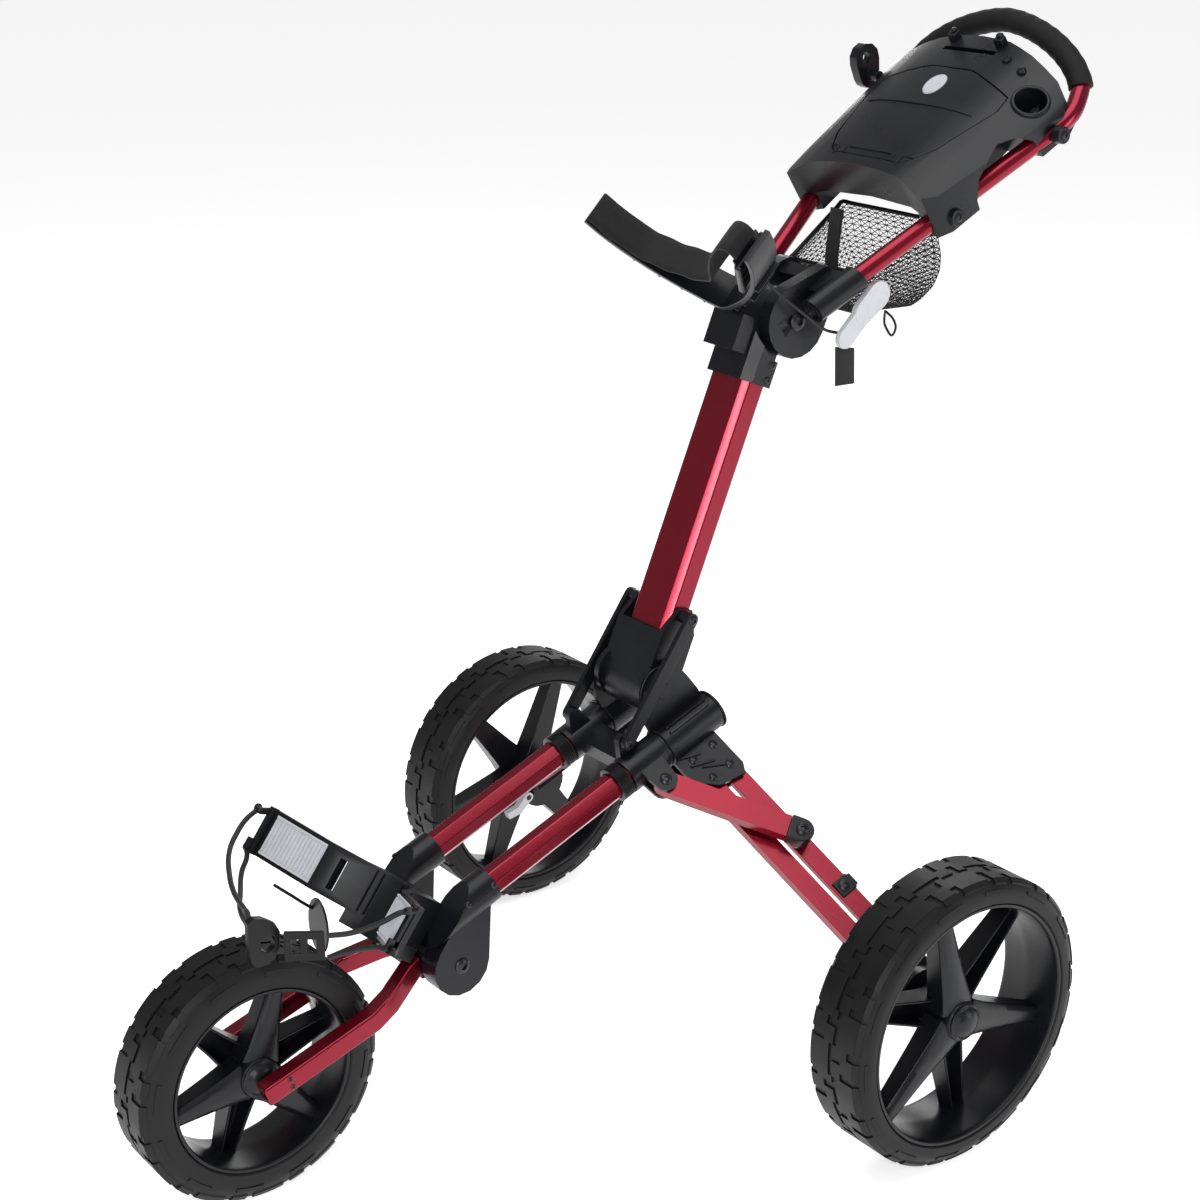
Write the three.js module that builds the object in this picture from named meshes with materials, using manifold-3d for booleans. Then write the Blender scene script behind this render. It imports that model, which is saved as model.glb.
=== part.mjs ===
// Golf push trolley with three wheels: a mast on two sloping tubes, fold-out rear legs, a folding
// front fork, two bag cradles and a handle with a console.
// Millimetres, +Z up, the front wheel towards -Y, the trolley's left side towards +X.
import * as THREE from 'three';
import { mergeVertices } from 'three/addons/utils/BufferGeometryUtils.js';
import Module from 'manifold-3d';

const wasm = await Module();
wasm.setup();

// ---------- driving dimensions
const DEG = Math.PI / 180;
const GAP = 0.3;
const LENGTH_SHIFT = 144.1;
const REAR_WHEEL = { radius: 146, lip: 122.4, half: 38, x: 346.5, z: 146 };
const FRONT_WHEEL = { radius: 122.7, lip: 92.1, half: 34.6, y: -557, z: 122.7 };
const TUBE = { x: 48, across: 27, bore: 11, from: -281, to: 60 };
const LOWER = { y: -100, z: 345, tilt: 22 * DEG };
const LEG = { y: 16.2, roll: 37.4 * DEG, length: 290 };
const RAIL = { lower: -7, upper: 20, root: 29, width: 20, thick: 12 };
const PEDAL = { y: -25, z: 136 };
const STRUT = { from: [31, -50], to: [154, 20], width: 23, low: -2, high: 11 };
const SLEEVE = { from: -283, to: -233, radius: 18, wall: 3.5 };
const DISC = { y: -297.1, z: -49.3, radius: 31, inner: 37, outer: 61 };
const MAST = { y: -101, z: 399, tilt: -23.1 * DEG, width: 57, depth: 32, centre: 2 };
const FOOT = { low: 11.7, top: 56, half: 33 };
const HEAD = { low: 314, high: 364, tube: 335, hingeY: 19.5, hingeZ: 384.6 };
const EAR = { z: 75.9, inner: 29, outer: 35 };
const ROD = { inner: 45, outer: 51, foot: [-150, 358] };
const FORK = { y: -357, z: 188, arm: 47, root: 24 };
const LOWER_CRADLE = { y: -405, z: 240, lean: 53.13 * DEG, tip: 130 };
const UPPER_CRADLE = { y: 22, z: 765, lean: 45 * DEG };
const HANDLE = { y: 68, z: 745, lean: 33.5 * DEG, tube: 9.5, rise: 5.9, spread: 0.2603, root: 45.4 };
const GRIP = { half: 118.9, start: 356.7, reach: 66, bend: 41.8 * DEG, radius: 12.6, power: 1.2 };
const CONSOLE = { crown: 58, drop: 23, shoulder: 113, low: -6, from: 140, to: 375 };
const LID_OUTLINE = [[-45, 176], [45, 176], [55, 183], [72, 208], [91, 277], [89, 298], [29, 318],
  [-29, 318], [-89, 298], [-91, 277], [-72, 208], [-55, 183]];

const COLOURS = {
  red: [0x96162c, 0.28, 0.6],
  black: [0x1c1e22, 0.45, 0.0],
  rubber: [0x1a1b1c, 0.85, 0.0],
  foam: [0x17181a, 0.9, 0.0],
  grey: [0xc4c6cc, 0.4, 0.0],
  steel: [0x6d7076, 0.35, 0.9],
  fabric: [0x202225, 0.95, 0.0],
};

// ---------- solids and outlines
function toSolid(geometry) {
  const bare = geometry.clone();
  bare.deleteAttribute('normal');
  bare.deleteAttribute('uv');
  const merged = mergeVertices(bare, 1e-4);
  const data = { numProp: 3, vertProperties: merged.attributes.position.array, triVerts: merged.index.array };
  return new wasm.Manifold(new wasm.Mesh(data));
}

function toGeometry(solid) {
  const data = solid.getMesh();
  const geometry = new THREE.BufferGeometry();
  geometry.setAttribute('position', new THREE.BufferAttribute(data.vertProperties, 3));
  geometry.setIndex(new THREE.BufferAttribute(data.triVerts, 1));
  geometry.computeVertexNormals();
  return geometry;
}

function join(first, ...others) {
  return others.reduce((solid, geometry) => solid.add(toSolid(geometry)), toSolid(first));
}

function cut(solid, ...tools) {
  return tools.reduce((rest, geometry) => rest.subtract(toSolid(geometry)), solid);
}

function mirrorX(geometry) {
  const solid = toGeometry(toSolid(geometry));
  const position = solid.attributes.position;
  for (let i = 0; i < position.count; i += 1) position.setX(i, -position.getX(i));
  const index = solid.index;
  for (let i = 0; i < index.count; i += 3) {
    const first = index.getX(i);
    index.setX(i, index.getX(i + 1));
    index.setX(i + 1, first);
  }
  solid.computeVertexNormals();
  return solid;
}

function toShape(outline, hole) {
  const shape = new THREE.Shape(outline.map(([u, v]) => new THREE.Vector2(u, v)));
  if (hole) shape.holes.push(new THREE.Path(hole.map(([u, v]) => new THREE.Vector2(u, v))));
  return shape;
}

function extrude(outline, depth, hole) {
  return new THREE.ExtrudeGeometry(toShape(outline, hole), { depth, bevelEnabled: false });
}

// An outline in (y, z), thickened along X.
function prismX(outline, from, to, hole) {
  const turn = new THREE.Matrix4().makeBasis(
    new THREE.Vector3(0, 1, 0), new THREE.Vector3(0, 0, 1), new THREE.Vector3(1, 0, 0));
  return extrude(outline, to - from, hole).applyMatrix4(turn).translate(from, 0, 0);
}

// An outline in (x, z), thickened along Y.
function prismY(outline, from, to, hole) {
  return extrude(outline, to - from, hole).rotateX(Math.PI / 2).translate(0, to, 0);
}

// An outline in (x, y), thickened along Z.
function prismZ(outline, from, to, hole) {
  return extrude(outline, to - from, hole).translate(0, 0, from);
}

function box(from, to) {
  const size = to.map((value, axis) => value - from[axis]);
  const middle = to.map((value, axis) => (value + from[axis]) / 2);
  return new THREE.BoxGeometry(...size).translate(...middle);
}

function circle(radius, sides, centre = [0, 0], phase = 0) {
  const points = [];
  for (let i = 0; i < sides; i += 1) {
    const angle = (2 * Math.PI * (i + phase)) / sides;
    points.push([centre[0] + radius * Math.cos(angle), centre[1] + radius * Math.sin(angle)]);
  }
  return points;
}

function octagon(across, centre = [0, 0]) {
  return circle(across / 2 / Math.cos(Math.PI / 8), 8, centre, 0.5);
}

function discX(radius, from, to, y = 0, z = 0, sides = 16) {
  return prismX(circle(radius, sides, [y, z]), from, to);
}

function discZ(radius, from, to, x = 0, y = 0, sides = 14) {
  return prismZ(circle(radius, sides, [x, y]), from, to);
}

// A closed outline around two circles joined by their tangents.
function capsule(first, second, firstRadius, secondRadius, sides = 8) {
  const dx = second[0] - first[0];
  const dy = second[1] - first[1];
  const heading = Math.atan2(dy, dx);
  const lean = Math.acos((firstRadius - secondRadius) / Math.hypot(dx, dy));
  const points = [];
  for (let i = 0; i <= sides; i += 1) {
    const angle = heading - lean + (2 * lean * i) / sides;
    points.push([second[0] + secondRadius * Math.cos(angle), second[1] + secondRadius * Math.sin(angle)]);
  }
  for (let i = 0; i <= sides; i += 1) {
    const angle = heading + lean + ((2 * Math.PI - 2 * lean) * i) / sides;
    points.push([first[0] + firstRadius * Math.cos(angle), first[1] + firstRadius * Math.sin(angle)]);
  }
  return points;
}

// A strip of even thickness along a path; side 0 keeps the path in the middle, 1 on the right face.
function strip(path, thickness, side = 0) {
  const left = [];
  const right = [];
  path.forEach(([u, v], i) => {
    const before = path[Math.max(i - 1, 0)];
    const after = path[Math.min(i + 1, path.length - 1)];
    const length = Math.hypot(after[0] - before[0], after[1] - before[1]);
    const normal = [-(after[1] - before[1]) / length, (after[0] - before[0]) / length];
    const outer = (thickness * (1 + side)) / 2;
    const inner = (thickness * (1 - side)) / 2;
    left.push([u + normal[0] * outer, v + normal[1] * outer]);
    right.push([u - normal[0] * inner, v - normal[1] * inner]);
  });
  return [...right, ...left.reverse()];
}

function smooth(points, count) {
  const curve = new THREE.CatmullRomCurve3(points.map(([u, v]) => new THREE.Vector3(u, v, 0)));
  return curve.getSpacedPoints(count).map((point) => [point.x, point.y]);
}

// A closed skin through rings of equal length; without a hole its ends are capped.
function skin(rings, innerRings) {
  const count = rings[0].length;
  const loops = innerRings ? [...rings, ...innerRings.slice().reverse()] : rings;
  const positions = loops.flat(2);
  const index = [];
  const stitch = (a, b) => {
    for (let i = 0; i < count; i += 1) {
      const next = (i + 1) % count;
      index.push(a * count + i, b * count + i, b * count + next);
      index.push(a * count + i, b * count + next, a * count + next);
    }
  };
  for (let ring = 0; ring + 1 < loops.length; ring += 1) stitch(ring, ring + 1);
  if (innerRings) stitch(loops.length - 1, 0);
  for (let i = 1; !innerRings && i + 1 < count; i += 1) {
    const last = (loops.length - 1) * count;
    index.push(0, i, i + 1);
    index.push(last, last + i + 1, last + i);
  }
  const geometry = new THREE.BufferGeometry();
  geometry.setAttribute('position', new THREE.Float32BufferAttribute(positions, 3));
  geometry.setIndex(index);
  return faceOut(geometry);
}

function faceOut(geometry) {
  const point = (i) => new THREE.Vector3().fromBufferAttribute(geometry.attributes.position, i);
  const index = geometry.index;
  let volume = 0;
  for (let i = 0; i < index.count; i += 3) {
    const second = point(index.getX(i + 1)).cross(point(index.getX(i + 2)));
    volume += point(index.getX(i)).dot(second);
  }
  for (let i = 0; volume < 0 && i < index.count; i += 3) {
    const first = index.getX(i);
    index.setX(i, index.getX(i + 1));
    index.setX(i + 1, first);
  }
  geometry.computeVertexNormals();
  return geometry;
}

// A round rope or tube through the given points.
function rope(points, radius, steps, sides = 8) {
  const curve = new THREE.CatmullRomCurve3(points.map((point) => new THREE.Vector3(...point)));
  const options = { extrudePath: curve, steps, bevelEnabled: false };
  return new THREE.ExtrudeGeometry(toShape(circle(radius, sides)), options);
}

// ---------- the assembly's own frames
const trolley = new THREE.Group();
trolley.position.y = LENGTH_SHIFT;

function frame(y, z, turn, parent = trolley) {
  const group = new THREE.Group();
  group.position.set(0, y, z);
  group.rotation.x = turn;
  parent.add(group);
  return group;
}

function legFrame(side) {
  const group = new THREE.Group();
  group.position.set(side * TUBE.x, LEG.y, 0);
  group.rotation.y = side * LEG.roll;
  lower.add(group);
  return group;
}

const lower = frame(LOWER.y, LOWER.z, LOWER.tilt);
const legs = { left: legFrame(1), right: legFrame(-1) };
const mast = frame(MAST.y, MAST.z, MAST.tilt);
const fork = frame(FORK.y, FORK.z, 0);
const lowerCradle = frame(LOWER_CRADLE.y, LOWER_CRADLE.z, LOWER_CRADLE.lean);
const upperCradle = frame(UPPER_CRADLE.y, UPPER_CRADLE.z, UPPER_CRADLE.lean);
const handle = frame(HANDLE.y, HANDLE.z, HANDLE.lean);
trolley.updateMatrixWorld(true);

// Moves geometry drawn in one frame into another.
function carry(geometry, from, to) {
  const matrix = to.matrixWorld.clone().invert().multiply(from.matrixWorld);
  return geometry.clone().applyMatrix4(matrix);
}

function add(name, geometry, colour, parent) {
  const shape = geometry.isBufferGeometry ? geometry : toGeometry(geometry);
  const [color, roughness, metalness] = COLOURS[colour];
  const mesh = new THREE.Mesh(shape, new THREE.MeshStandardMaterial({ color, roughness, metalness }));
  mesh.name = name;
  parent.add(mesh);
}

// A piece drawn for the left side, with its mirror image on the right.
function addPair(name, geometry, colour, parents) {
  const shape = geometry.isBufferGeometry ? geometry : toGeometry(geometry);
  add(`${name}_left`, shape, colour, parents.left);
  add(`${name}_right`, mirrorX(shape), colour, parents.right);
}

const both = (group) => ({ left: group, right: group });

// ---------- lower frame: two sloping tubes with the front sleeves and the leg brackets
function lowerTube() {
  const bar = prismY(octagon(TUBE.across, [TUBE.x, 0]), TUBE.from, TUBE.to, circle(TUBE.bore, 12, [TUBE.x, 0]));
  return cut(toSolid(bar), beyondCradleBack(SLEEVE.wall + GAP));
}

function tubeBore(from, to) {
  return prismY(octagon(TUBE.across + 2 * GAP, [TUBE.x, 0]), from, to);
}

// The lower cradle's back face leans across the sleeves' front ends.
function beyondCradleBack(inset = 0) {
  return carry(box([-200, -200, -34 - GAP - inset], [200, 200, 100]), lowerCradle, lower);
}

function frontSleeve() {
  const barrel = prismY(circle(SLEEVE.radius, 16, [TUBE.x, 0]), SLEEVE.from - 30, SLEEVE.to);
  const cheek = capsule([DISC.y, DISC.z], [SLEEVE.to - 24, -4], DISC.radius, 14, 9);
  const solid = join(barrel, prismX(cheek, DISC.inner, DISC.outer));
  const bore = toGeometry(cut(toSolid(tubeBore(TUBE.from - GAP, 0)), beyondCradleBack(SLEEVE.wall)));
  return cut(solid, bore, beyondCradleBack(),
    discX(5 + GAP, DISC.inner - 1, DISC.outer + 1, DISC.y, DISC.z, 12));
}

const PIVOT_IN_LOWER = carry(box([-1, -1, -1], [1, 1, 1]), mast, lower);
PIVOT_IN_LOWER.computeBoundingSphere();
const PIVOT = PIVOT_IN_LOWER.boundingSphere.center;

function legBracket() {
  const barrel = prismY(circle(20, 16, [TUBE.x, 0]), -8, 62);
  const web = [[-8, 4], [-12, 34], [0, 62], [14, 71], [30, 75], [42, 72], [51, 48], [57, 28], [61, 4]];
  const upper = prismX(web, 37, 42);
  const plate = [[6, -24], [38, -24], [50, -20], [66, -4], [72, 25], [62, 31], [6, 31]];
  const clamp = [prismZ(plate, -7.6, -2.6), prismZ(plate, -24.6, -20.3)];
  const spine = box([4, -24, -24], [18, 31, -3]);
  const pins = [RAIL.lower, RAIL.upper].map((y) => discZ(3, -21, -7, RAIL.root, y, 12));
  const lowerPieces = [...clamp, spine, ...pins].map((piece) => carry(piece, legs.left, lower));
  const boss = discX(11, 37, 43, PIVOT.y, PIVOT.z, 20);
  const solid = join(barrel, upper, boss, ...lowerPieces);
  return cut(solid, tubeBore(-20, TUBE.to + GAP),
    discX(5 + GAP, 30, 50, PIVOT.y, PIVOT.z, 12));
}

addPair('lower_tube', lowerTube(), 'red', both(lower));
addPair('front_sleeve', frontSleeve(), 'black', both(lower));
addPair('leg_bracket', legBracket(), 'black', both(lower));

function pivotPin() {
  const head = discX(8, 43.3, 45, 0, 0, 16);
  return join(discX(5, -44, 44, 0, 0, 16), head, mirrorX(head));
}

add('mast_pivot_pin', pivotPin(), 'steel', mast);
add('fork_pivot_pin', discX(5, -DISC.outer, DISC.outer, 0, 0, 16), 'steel', fork);

// ---------- slider: one casting that runs along both tubes, pulls the struts and is pushed by the rods
function slider() {
  const barrel = prismY(circle(19, 16, [TUBE.x, 0]), -58, -12);
  const rodLug = prismX(capsule([-41.5, 31], [-40, 6], 8, 15), 37, 44.5);
  const toLeg = (piece) => carry(piece, legs.left, lower);
  const strutPin = [STRUT.from[0], STRUT.from[1]];
  const cheek = capsule([10, strutPin[1]], strutPin, 14, 12);
  const cheeks = [prismZ(cheek, 11.6, 15.6), prismZ(cheek, -6.6, -2.6)].map(toLeg);
  const web = toLeg(box([6, -62, -6], [12, -38, 15]));
  const pin = toLeg(discZ(4, -3, 12, ...strutPin, 12));
  const side = join(barrel, rodLug, web, pin, ...cheeks);
  const otherSide = toSolid(mirrorX(toGeometry(side)));
  const bridge = toSolid(box([-34, -50, -9], [34, -20, 9]));
  const bore = tubeBore(-80, 10);
  return cut(side.add(otherSide).add(bridge), bore, mirrorX(bore));
}

add('slider', slider(), 'black', lower);

// ---------- rear legs: two parallel rails, a strut and the hub carrier on each side
const railEnd = RAIL.root + LEG.length;

function railOutline(y) {
  return capsule([RAIL.root, y], [railEnd, y], RAIL.width / 2, RAIL.width / 2, 8);
}

function lowerRail() {
  const y = RAIL.lower;
  const solid = toSolid(prismZ(railOutline(y), -20, -8));
  const channel = box([0, y - 7.5, -18.2], [400, y + 20, -9.8]);
  return cut(solid, channel, discZ(3 + GAP, -30, 0, RAIL.root, y, 12), discZ(3 + GAP, -30, 0, railEnd, y, 12));
}

function upperRail() {
  const y = RAIL.upper;
  const collar = discZ(7, -10.4, -7.6, ...STRUT.to, 16);
  const post = discZ(12, -7.7, -2.9, ...STRUT.to, 20);
  const solid = join(prismZ(railOutline(y), -17.8, -10.2), collar, post);
  return cut(solid, discZ(3 + GAP, -30, -9, RAIL.root, y, 12), discZ(3 + GAP, -30, -9, railEnd, y, 12));
}

function hubCarrier() {
  const outline = [[railEnd - 12, -18], [railEnd + 24, -18], [railEnd + 24, 31], [railEnd - 12, 31]];
  const plates = [prismZ(outline, -7.6, -4), prismZ(outline, -24, -20.4)];
  const web = box([railEnd + 11, -18, -24], [railEnd + 26, 31, -4]);
  const pins = [RAIL.lower, RAIL.upper].map((y) => discZ(3, -22, -6, railEnd, y, 12));
  const clevis = [...plates, web, ...pins].map((piece) => carry(piece, legs.left, trolley));
  const notch = discX(9, 290, 306.3, PEDAL.y, PEDAL.z, 16);
  const drum = discX(30, 306.5, 316, 0, REAR_WHEEL.z, 24);
  const stub = discX(6, 300, 372, 0, REAR_WHEEL.z, 14);
  return cut(join(drum, stub, ...clevis), notch);
}

function strut() {
  const [ax, ay] = STRUT.from;
  const length = Math.hypot(STRUT.to[0] - ax, STRUT.to[1] - ay);
  const half = STRUT.width / 2;
  const bar = [[14, -half], [length - 13, -half], [length - 13, half], [14, half]];
  const eye = capsule([0, 0], [16, 0], 11, half);
  const solid = join(prismZ(bar, STRUT.low, STRUT.high), prismZ(eye, STRUT.low, STRUT.high));
  return placeOnStrut(cut(solid, discZ(4 + GAP, -10, 20, 0, 0, 12)));
}

function strutCap() {
  const length = Math.hypot(STRUT.to[0] - STRUT.from[0], STRUT.to[1] - STRUT.from[1]);
  const end = circle(12.5, 20, [length, 0], 0).filter(([x]) => x > length - 1);
  const outline = [[length - 13 + GAP, 12.5], [length - 13 + GAP, -12.5], ...end.slice(6), ...end.slice(0, 6)];
  return placeOnStrut(toSolid(prismZ(outline, STRUT.low - 0.4, STRUT.high + 3)));
}

function placeOnStrut(solid) {
  const heading = Math.atan2(STRUT.to[1] - STRUT.from[1], STRUT.to[0] - STRUT.from[0]);
  return toGeometry(solid).rotateZ(heading).translate(STRUT.from[0], STRUT.from[1], 0);
}

addPair('leg_rail_lower', lowerRail(), 'red', legs);
addPair('leg_rail_upper', upperRail(), 'red', legs);
addPair('leg_strut', strut(), 'red', legs);
addPair('strut_cap', strutCap(), 'black', legs);
add('hub_carrier_left', hubCarrier(), 'black', trolley);
add('hub_carrier_right', join(mirrorX(toGeometry(hubCarrier())), pedalPin()), 'black', trolley);

function pedalPin() {
  return discX(3, -308, -297.5, PEDAL.y, PEDAL.z, 12);
}

function brakePedal() {
  const eye = discX(6, -305.8, -298, PEDAL.y, PEDAL.z, 16);
  const arm = prismX([[-24, 130], [-36, 119], [-52, 116], [-55, 124], [-40, 128], [-29, 140]], -305.8, -298);
  return cut(join(eye, arm), discX(3 + GAP, -310, -290, PEDAL.y, PEDAL.z, 12));
}

add('brake_pedal', brakePedal(), 'grey', trolley);

// ---------- wheels: tyre, spoked rim and hub cap
function tyre(size) {
  const crown = size.radius;
  const wall = size.radius - size.lip;
  const profile = [[size.lip, -0.92], [size.lip, 0.92], [size.lip + 0.12 * wall, 1], [size.lip + 0.6 * wall, 0.97],
    [crown - 0.12 * wall, 0.82], [crown, 0.58]];
  const points = profile.map(([radius, side]) => new THREE.Vector2(radius, side * size.half));
  const mirrored = profile.slice(2).reverse().map(([radius, side]) => new THREE.Vector2(radius, -side * size.half));
  const loop = [...points, ...mirrored, points[0].clone()].reverse();
  return toSolid(new THREE.LatheGeometry(loop, 32).rotateZ(-Math.PI / 2));
}

function rim(size, hubFrom, hubTo, bore) {
  const outer = size.lip - GAP;
  const edge = size.half * 0.92;
  const barrel = prismX(circle(outer, 32), -edge, edge, circle(outer - 4, 32).reverse());
  const hub = discX(20, hubFrom, hubTo, 0, 0, 16);
  const spokes = [];
  for (let i = 0; i < 6; i += 1) {
    const outside = i % 2 === 0;
    const from = outside ? hubTo - 16 : hubFrom + 4;
    const blade = [[14, -13], [outer - 2, -8], [outer - 2, 8], [14, 13]];
    spokes.push(prismX(blade, from, from + 12).rotateX((i * 60 + 90) * DEG));
  }
  return cut(join(barrel, hub, ...spokes), discX(bore, hubFrom - 1, hubTo + 1, 0, 0, 12));
}

function hubCap(from, depth, bore) {
  const solid = join(discX(19, from, from + depth * 0.6), discX(13, from, from + depth));
  return bore ? cut(solid, discX(bore, from - 1, from + depth + 1, 0, 0, 12)) : solid;
}

function placed(solid, x, y, z) {
  return toGeometry(solid).translate(x, y, z);
}

const rear = [REAR_WHEEL.x, 0, REAR_WHEEL.z];
addPair('rear_tyre', placed(tyre(REAR_WHEEL), ...rear), 'rubber', both(trolley));
addPair('rear_rim', placed(rim(REAR_WHEEL, -26, 26, 6 + GAP), ...rear), 'black', both(trolley));
addPair('rear_hub_cap', placed(hubCap(26 + GAP, 9), ...rear), 'black', both(trolley));

const front = [0, FRONT_WHEEL.y, FRONT_WHEEL.z];
add('front_tyre', placed(tyre(FRONT_WHEEL), ...front), 'rubber', trolley);
add('front_rim', placed(rim(FRONT_WHEEL, -26, 26, 5 + GAP), ...front), 'black', trolley);
add('front_hub_cap', placed(hubCap(26 + GAP, 8, 5 + GAP), ...front), 'black', trolley);

// ---------- front fork: a crown between the sleeve discs, two bent square arms and the axle
const axleInFork = [FRONT_WHEEL.y - FORK.y, FRONT_WHEEL.z - FORK.z];

function crown() {
  const bridge = box([-34, -28, -17], [34, 4, 11]);
  const solid = join(discX(22, -DISC.inner + 1, DISC.inner - 1, 0, 0, 24), bridge);
  return cut(solid, discX(5 + GAP, -60, 60, 0, 0, 12));
}

function forkArm() {
  const [endY, endZ] = axleInFork;
  const stations = [[FORK.root, -28.3, -4], [29, -40, -7], [45, -72, -20], [FORK.arm, -92, -31],
    [FORK.arm, endY, endZ], [FORK.arm, endY - 11, endZ - 3.4]];
  const rings = stations.map(([x, y, z], i) => {
    const last = stations[Math.min(i + 1, stations.length - 1)];
    const first = stations[Math.max(i - 1, 0)];
    const slope = i === 0 ? 0 : Math.atan2(last[2] - first[2], last[1] - first[1]) + Math.PI;
    const across = Math.abs(Math.sin(slope)) * 10;
    const up = Math.cos(slope) * 10;
    const square = [[-10, -1], [10, -1], [10, 1], [-10, 1]];
    return square.map(([dx, sign]) => [x + dx * 0.9, y - sign * across, z + sign * up]);
  });
  return cut(toSolid(skin(rings)), discX(5 + GAP, 20, 70, endY, endZ, 12));
}

function axle() {
  const nut = discX(9, 57.5, 62, 0, 0, 6);
  return placed(join(discX(5, -60, 60, 0, 0, 12), nut, mirrorX(nut)), 0, ...axleInFork);
}

add('fork_crown', crown(), 'black', fork);
addPair('fork_arm', forkArm(), 'red', both(fork));
add('front_axle', axle(), 'steel', fork);

// ---------- lower bag cradle with its pads, tag plate and elastic cord
function lowerCradleBody() {
  const wing = [[-LOWER_CRADLE.tip, 73], [-122, 70], [-62, 42], [-20, -2], [0, -14], [20, -2], [62, 42], [122, 70],
    [LOWER_CRADLE.tip, 73], [LOWER_CRADLE.tip, 66], [64, 35], [40, 10], [34, -34], [-34, -34], [-40, 10], [-64, 35],
    [-LOWER_CRADLE.tip, 66]];
  const seat = [[-34, 12], [-20, -2], [0, -14], [20, -2], [34, 12], [34, -34], [-34, -34]];
  const slot = box([47, -12, -40], [52, 20, 100]);
  const solid = join(prismY(wing, -20, 29), prismY(seat, -34, 27));
  return cut(solid, slot, mirrorX(slot));
}

function cradlePad() {
  const start = [63.5, 43.1];
  const end = [120, 69.4];
  return prismY(strip([start, end], 2.4, 1), -16, 25);
}

function tagPlate() {
    const oval = circle(1, 20).map(([x, z]) => [-51 + 18 * x, 212 + 29 * z]);
  return prismY(oval, -448, -445.5);
}

add('lower_cradle', lowerCradleBody(), 'black', lowerCradle);
addPair('cradle_pad', cradlePad(), 'grey', both(lowerCradle));
add('tag_plate', tagPlate(), 'black', trolley);

const FRONT_CORD = [[-134, -462, 307], [-126, -478, 305], [-112, -496, 301], [-92, -515, 296], [-62, -532, 290],
  [-28, -545, 286], [5, -553, 287], [25, -560, 290], [27, -561, 284], [14, -557, 279], [-15, -547, 276],
  [-50, -528, 272], [-95, -502, 269], [-118, -484, 270], [-134, -476, 271]];
const REAR_CORD = [[78.5, -511, 278], [92, -494, 281], [108, -474, 291], [122, -462, 303], [131, -461, 308]];
const RETURN_CORD = [[78.5, -511, 256], [90, -498, 262], [104, -484, 268], [120, -476, 272], [131, -475, 274]];

add('bungee_cord_front', rope(FRONT_CORD, 2.6, 38), 'rubber', trolley);
add('bungee_cord_upper', rope(REAR_CORD, 2.6, 14), 'rubber', trolley);
add('bungee_cord_lower', rope(RETURN_CORD, 2.6, 14), 'rubber', trolley);

function bungeeHook() {
  const outline = [[-572, 296], [-566, 299], [-556, 296], [-545, 288], [-540, 278], [-541, 262], [-547, 252],
    [-556, 249], [-566, 249], [-571, 256], [-572, 276]];
  const eye = circle(8, 10, [-553, 270]);
  return prismX(outline, 39, 47, eye);
}

function bungeeLinks() {
  const turn = Math.atan2(25, 18);
  const link = [[0, -14], [36, -14], [36, 14], [0, 14]];
  const holes = [[[6, -7], [14, -7], [14, 7], [6, 7]], [[21, -7], [29, -7], [29, 7], [21, 7]]];
  const solid = cut(toSolid(prismY(link, -2.5, 2.5)), ...holes.map((hole) => prismY(hole, -5, 5)));
  return toGeometry(solid).rotateZ(turn).translate(54, -541, 267);
}

add('bungee_hook', bungeeHook(), 'rubber', trolley);
add('bungee_links', bungeeLinks(), 'rubber', trolley);

// ---------- mast: foot socket on the pivot, square tube, head and the two link rods
function mastOutline(width, depth, chamfer) {
  const x = width / 2;
  const y = depth / 2;
  const c = chamfer;
  return [[-x + c, -y], [x - c, -y], [x, -y + c], [x, y - c], [x - c, y], [-x + c, y], [-x, y - c], [-x, -y + c]]
    .map(([u, v]) => [u, v + MAST.centre]);
}

const mastCavity = mastOutline(MAST.width + 2 * GAP, MAST.depth + 2 * GAP, 7);

function mastTube() {
  return prismZ(mastOutline(MAST.width, MAST.depth, 7), FOOT.low + GAP, HEAD.tube,
    mastOutline(MAST.width - 6, MAST.depth - 6, 5).reverse());
}

function mastFoot() {
  const side = [[-19, FOOT.top], [-19, 0]];
  for (let i = 0; i <= 8; i += 1) {
    const angle = Math.PI + (Math.PI * i) / 8;
    side.push([MAST.centre + 21 * Math.cos(angle), 28 * Math.sin(angle)]);
  }
  side.push([23, 0], [23, FOOT.top + 6]);
  const body = prismX(side, -FOOT.half, FOOT.half);
  const ear = prismX([[-19, 20], [23, 20], [23, 60], [10, EAR.z + 8], [-6, EAR.z + 6], [-19, FOOT.top]],
    EAR.inner + GAP, EAR.outer);
  const disc = discX(26, 30, 36.4, 0, 0, 20);
  const boss = discX(6.5, EAR.outer - 1, ROD.inner - GAP, 0, EAR.z, 14);
  const solid = join(body, ear, mirrorX(ear), disc, mirrorX(disc), boss, mirrorX(boss));
  return cut(solid, prismZ(mastCavity, FOOT.low, 120), discX(5 + GAP, -60, 60, 0, 0, 12));
}

function mastHead() {
  const sleeve = prismZ(mastOutline(68, 42, 9), HEAD.low, HEAD.high);
  const eye = capsule([MAST.centre, HEAD.high - 14], [HEAD.hingeY, HEAD.hingeZ], 16, 30, 12);
  const pedestal = box([-22, -38, 338], [22, -10, 374]);
  const solid = join(sleeve, prismX(eye, -20, 20), pedestal);
  const beyond = carry(box([-100, -19, 7.8], [100, 100, 200]), upperCradle, mast);
    const cheek = discX(44.5, 20.1, 60, HEAD.hingeY, HEAD.hingeZ, 28);
  return cut(solid, beyond, cheek, mirrorX(cheek), prismZ(mastCavity, 200, HEAD.tube + GAP));
}

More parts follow.
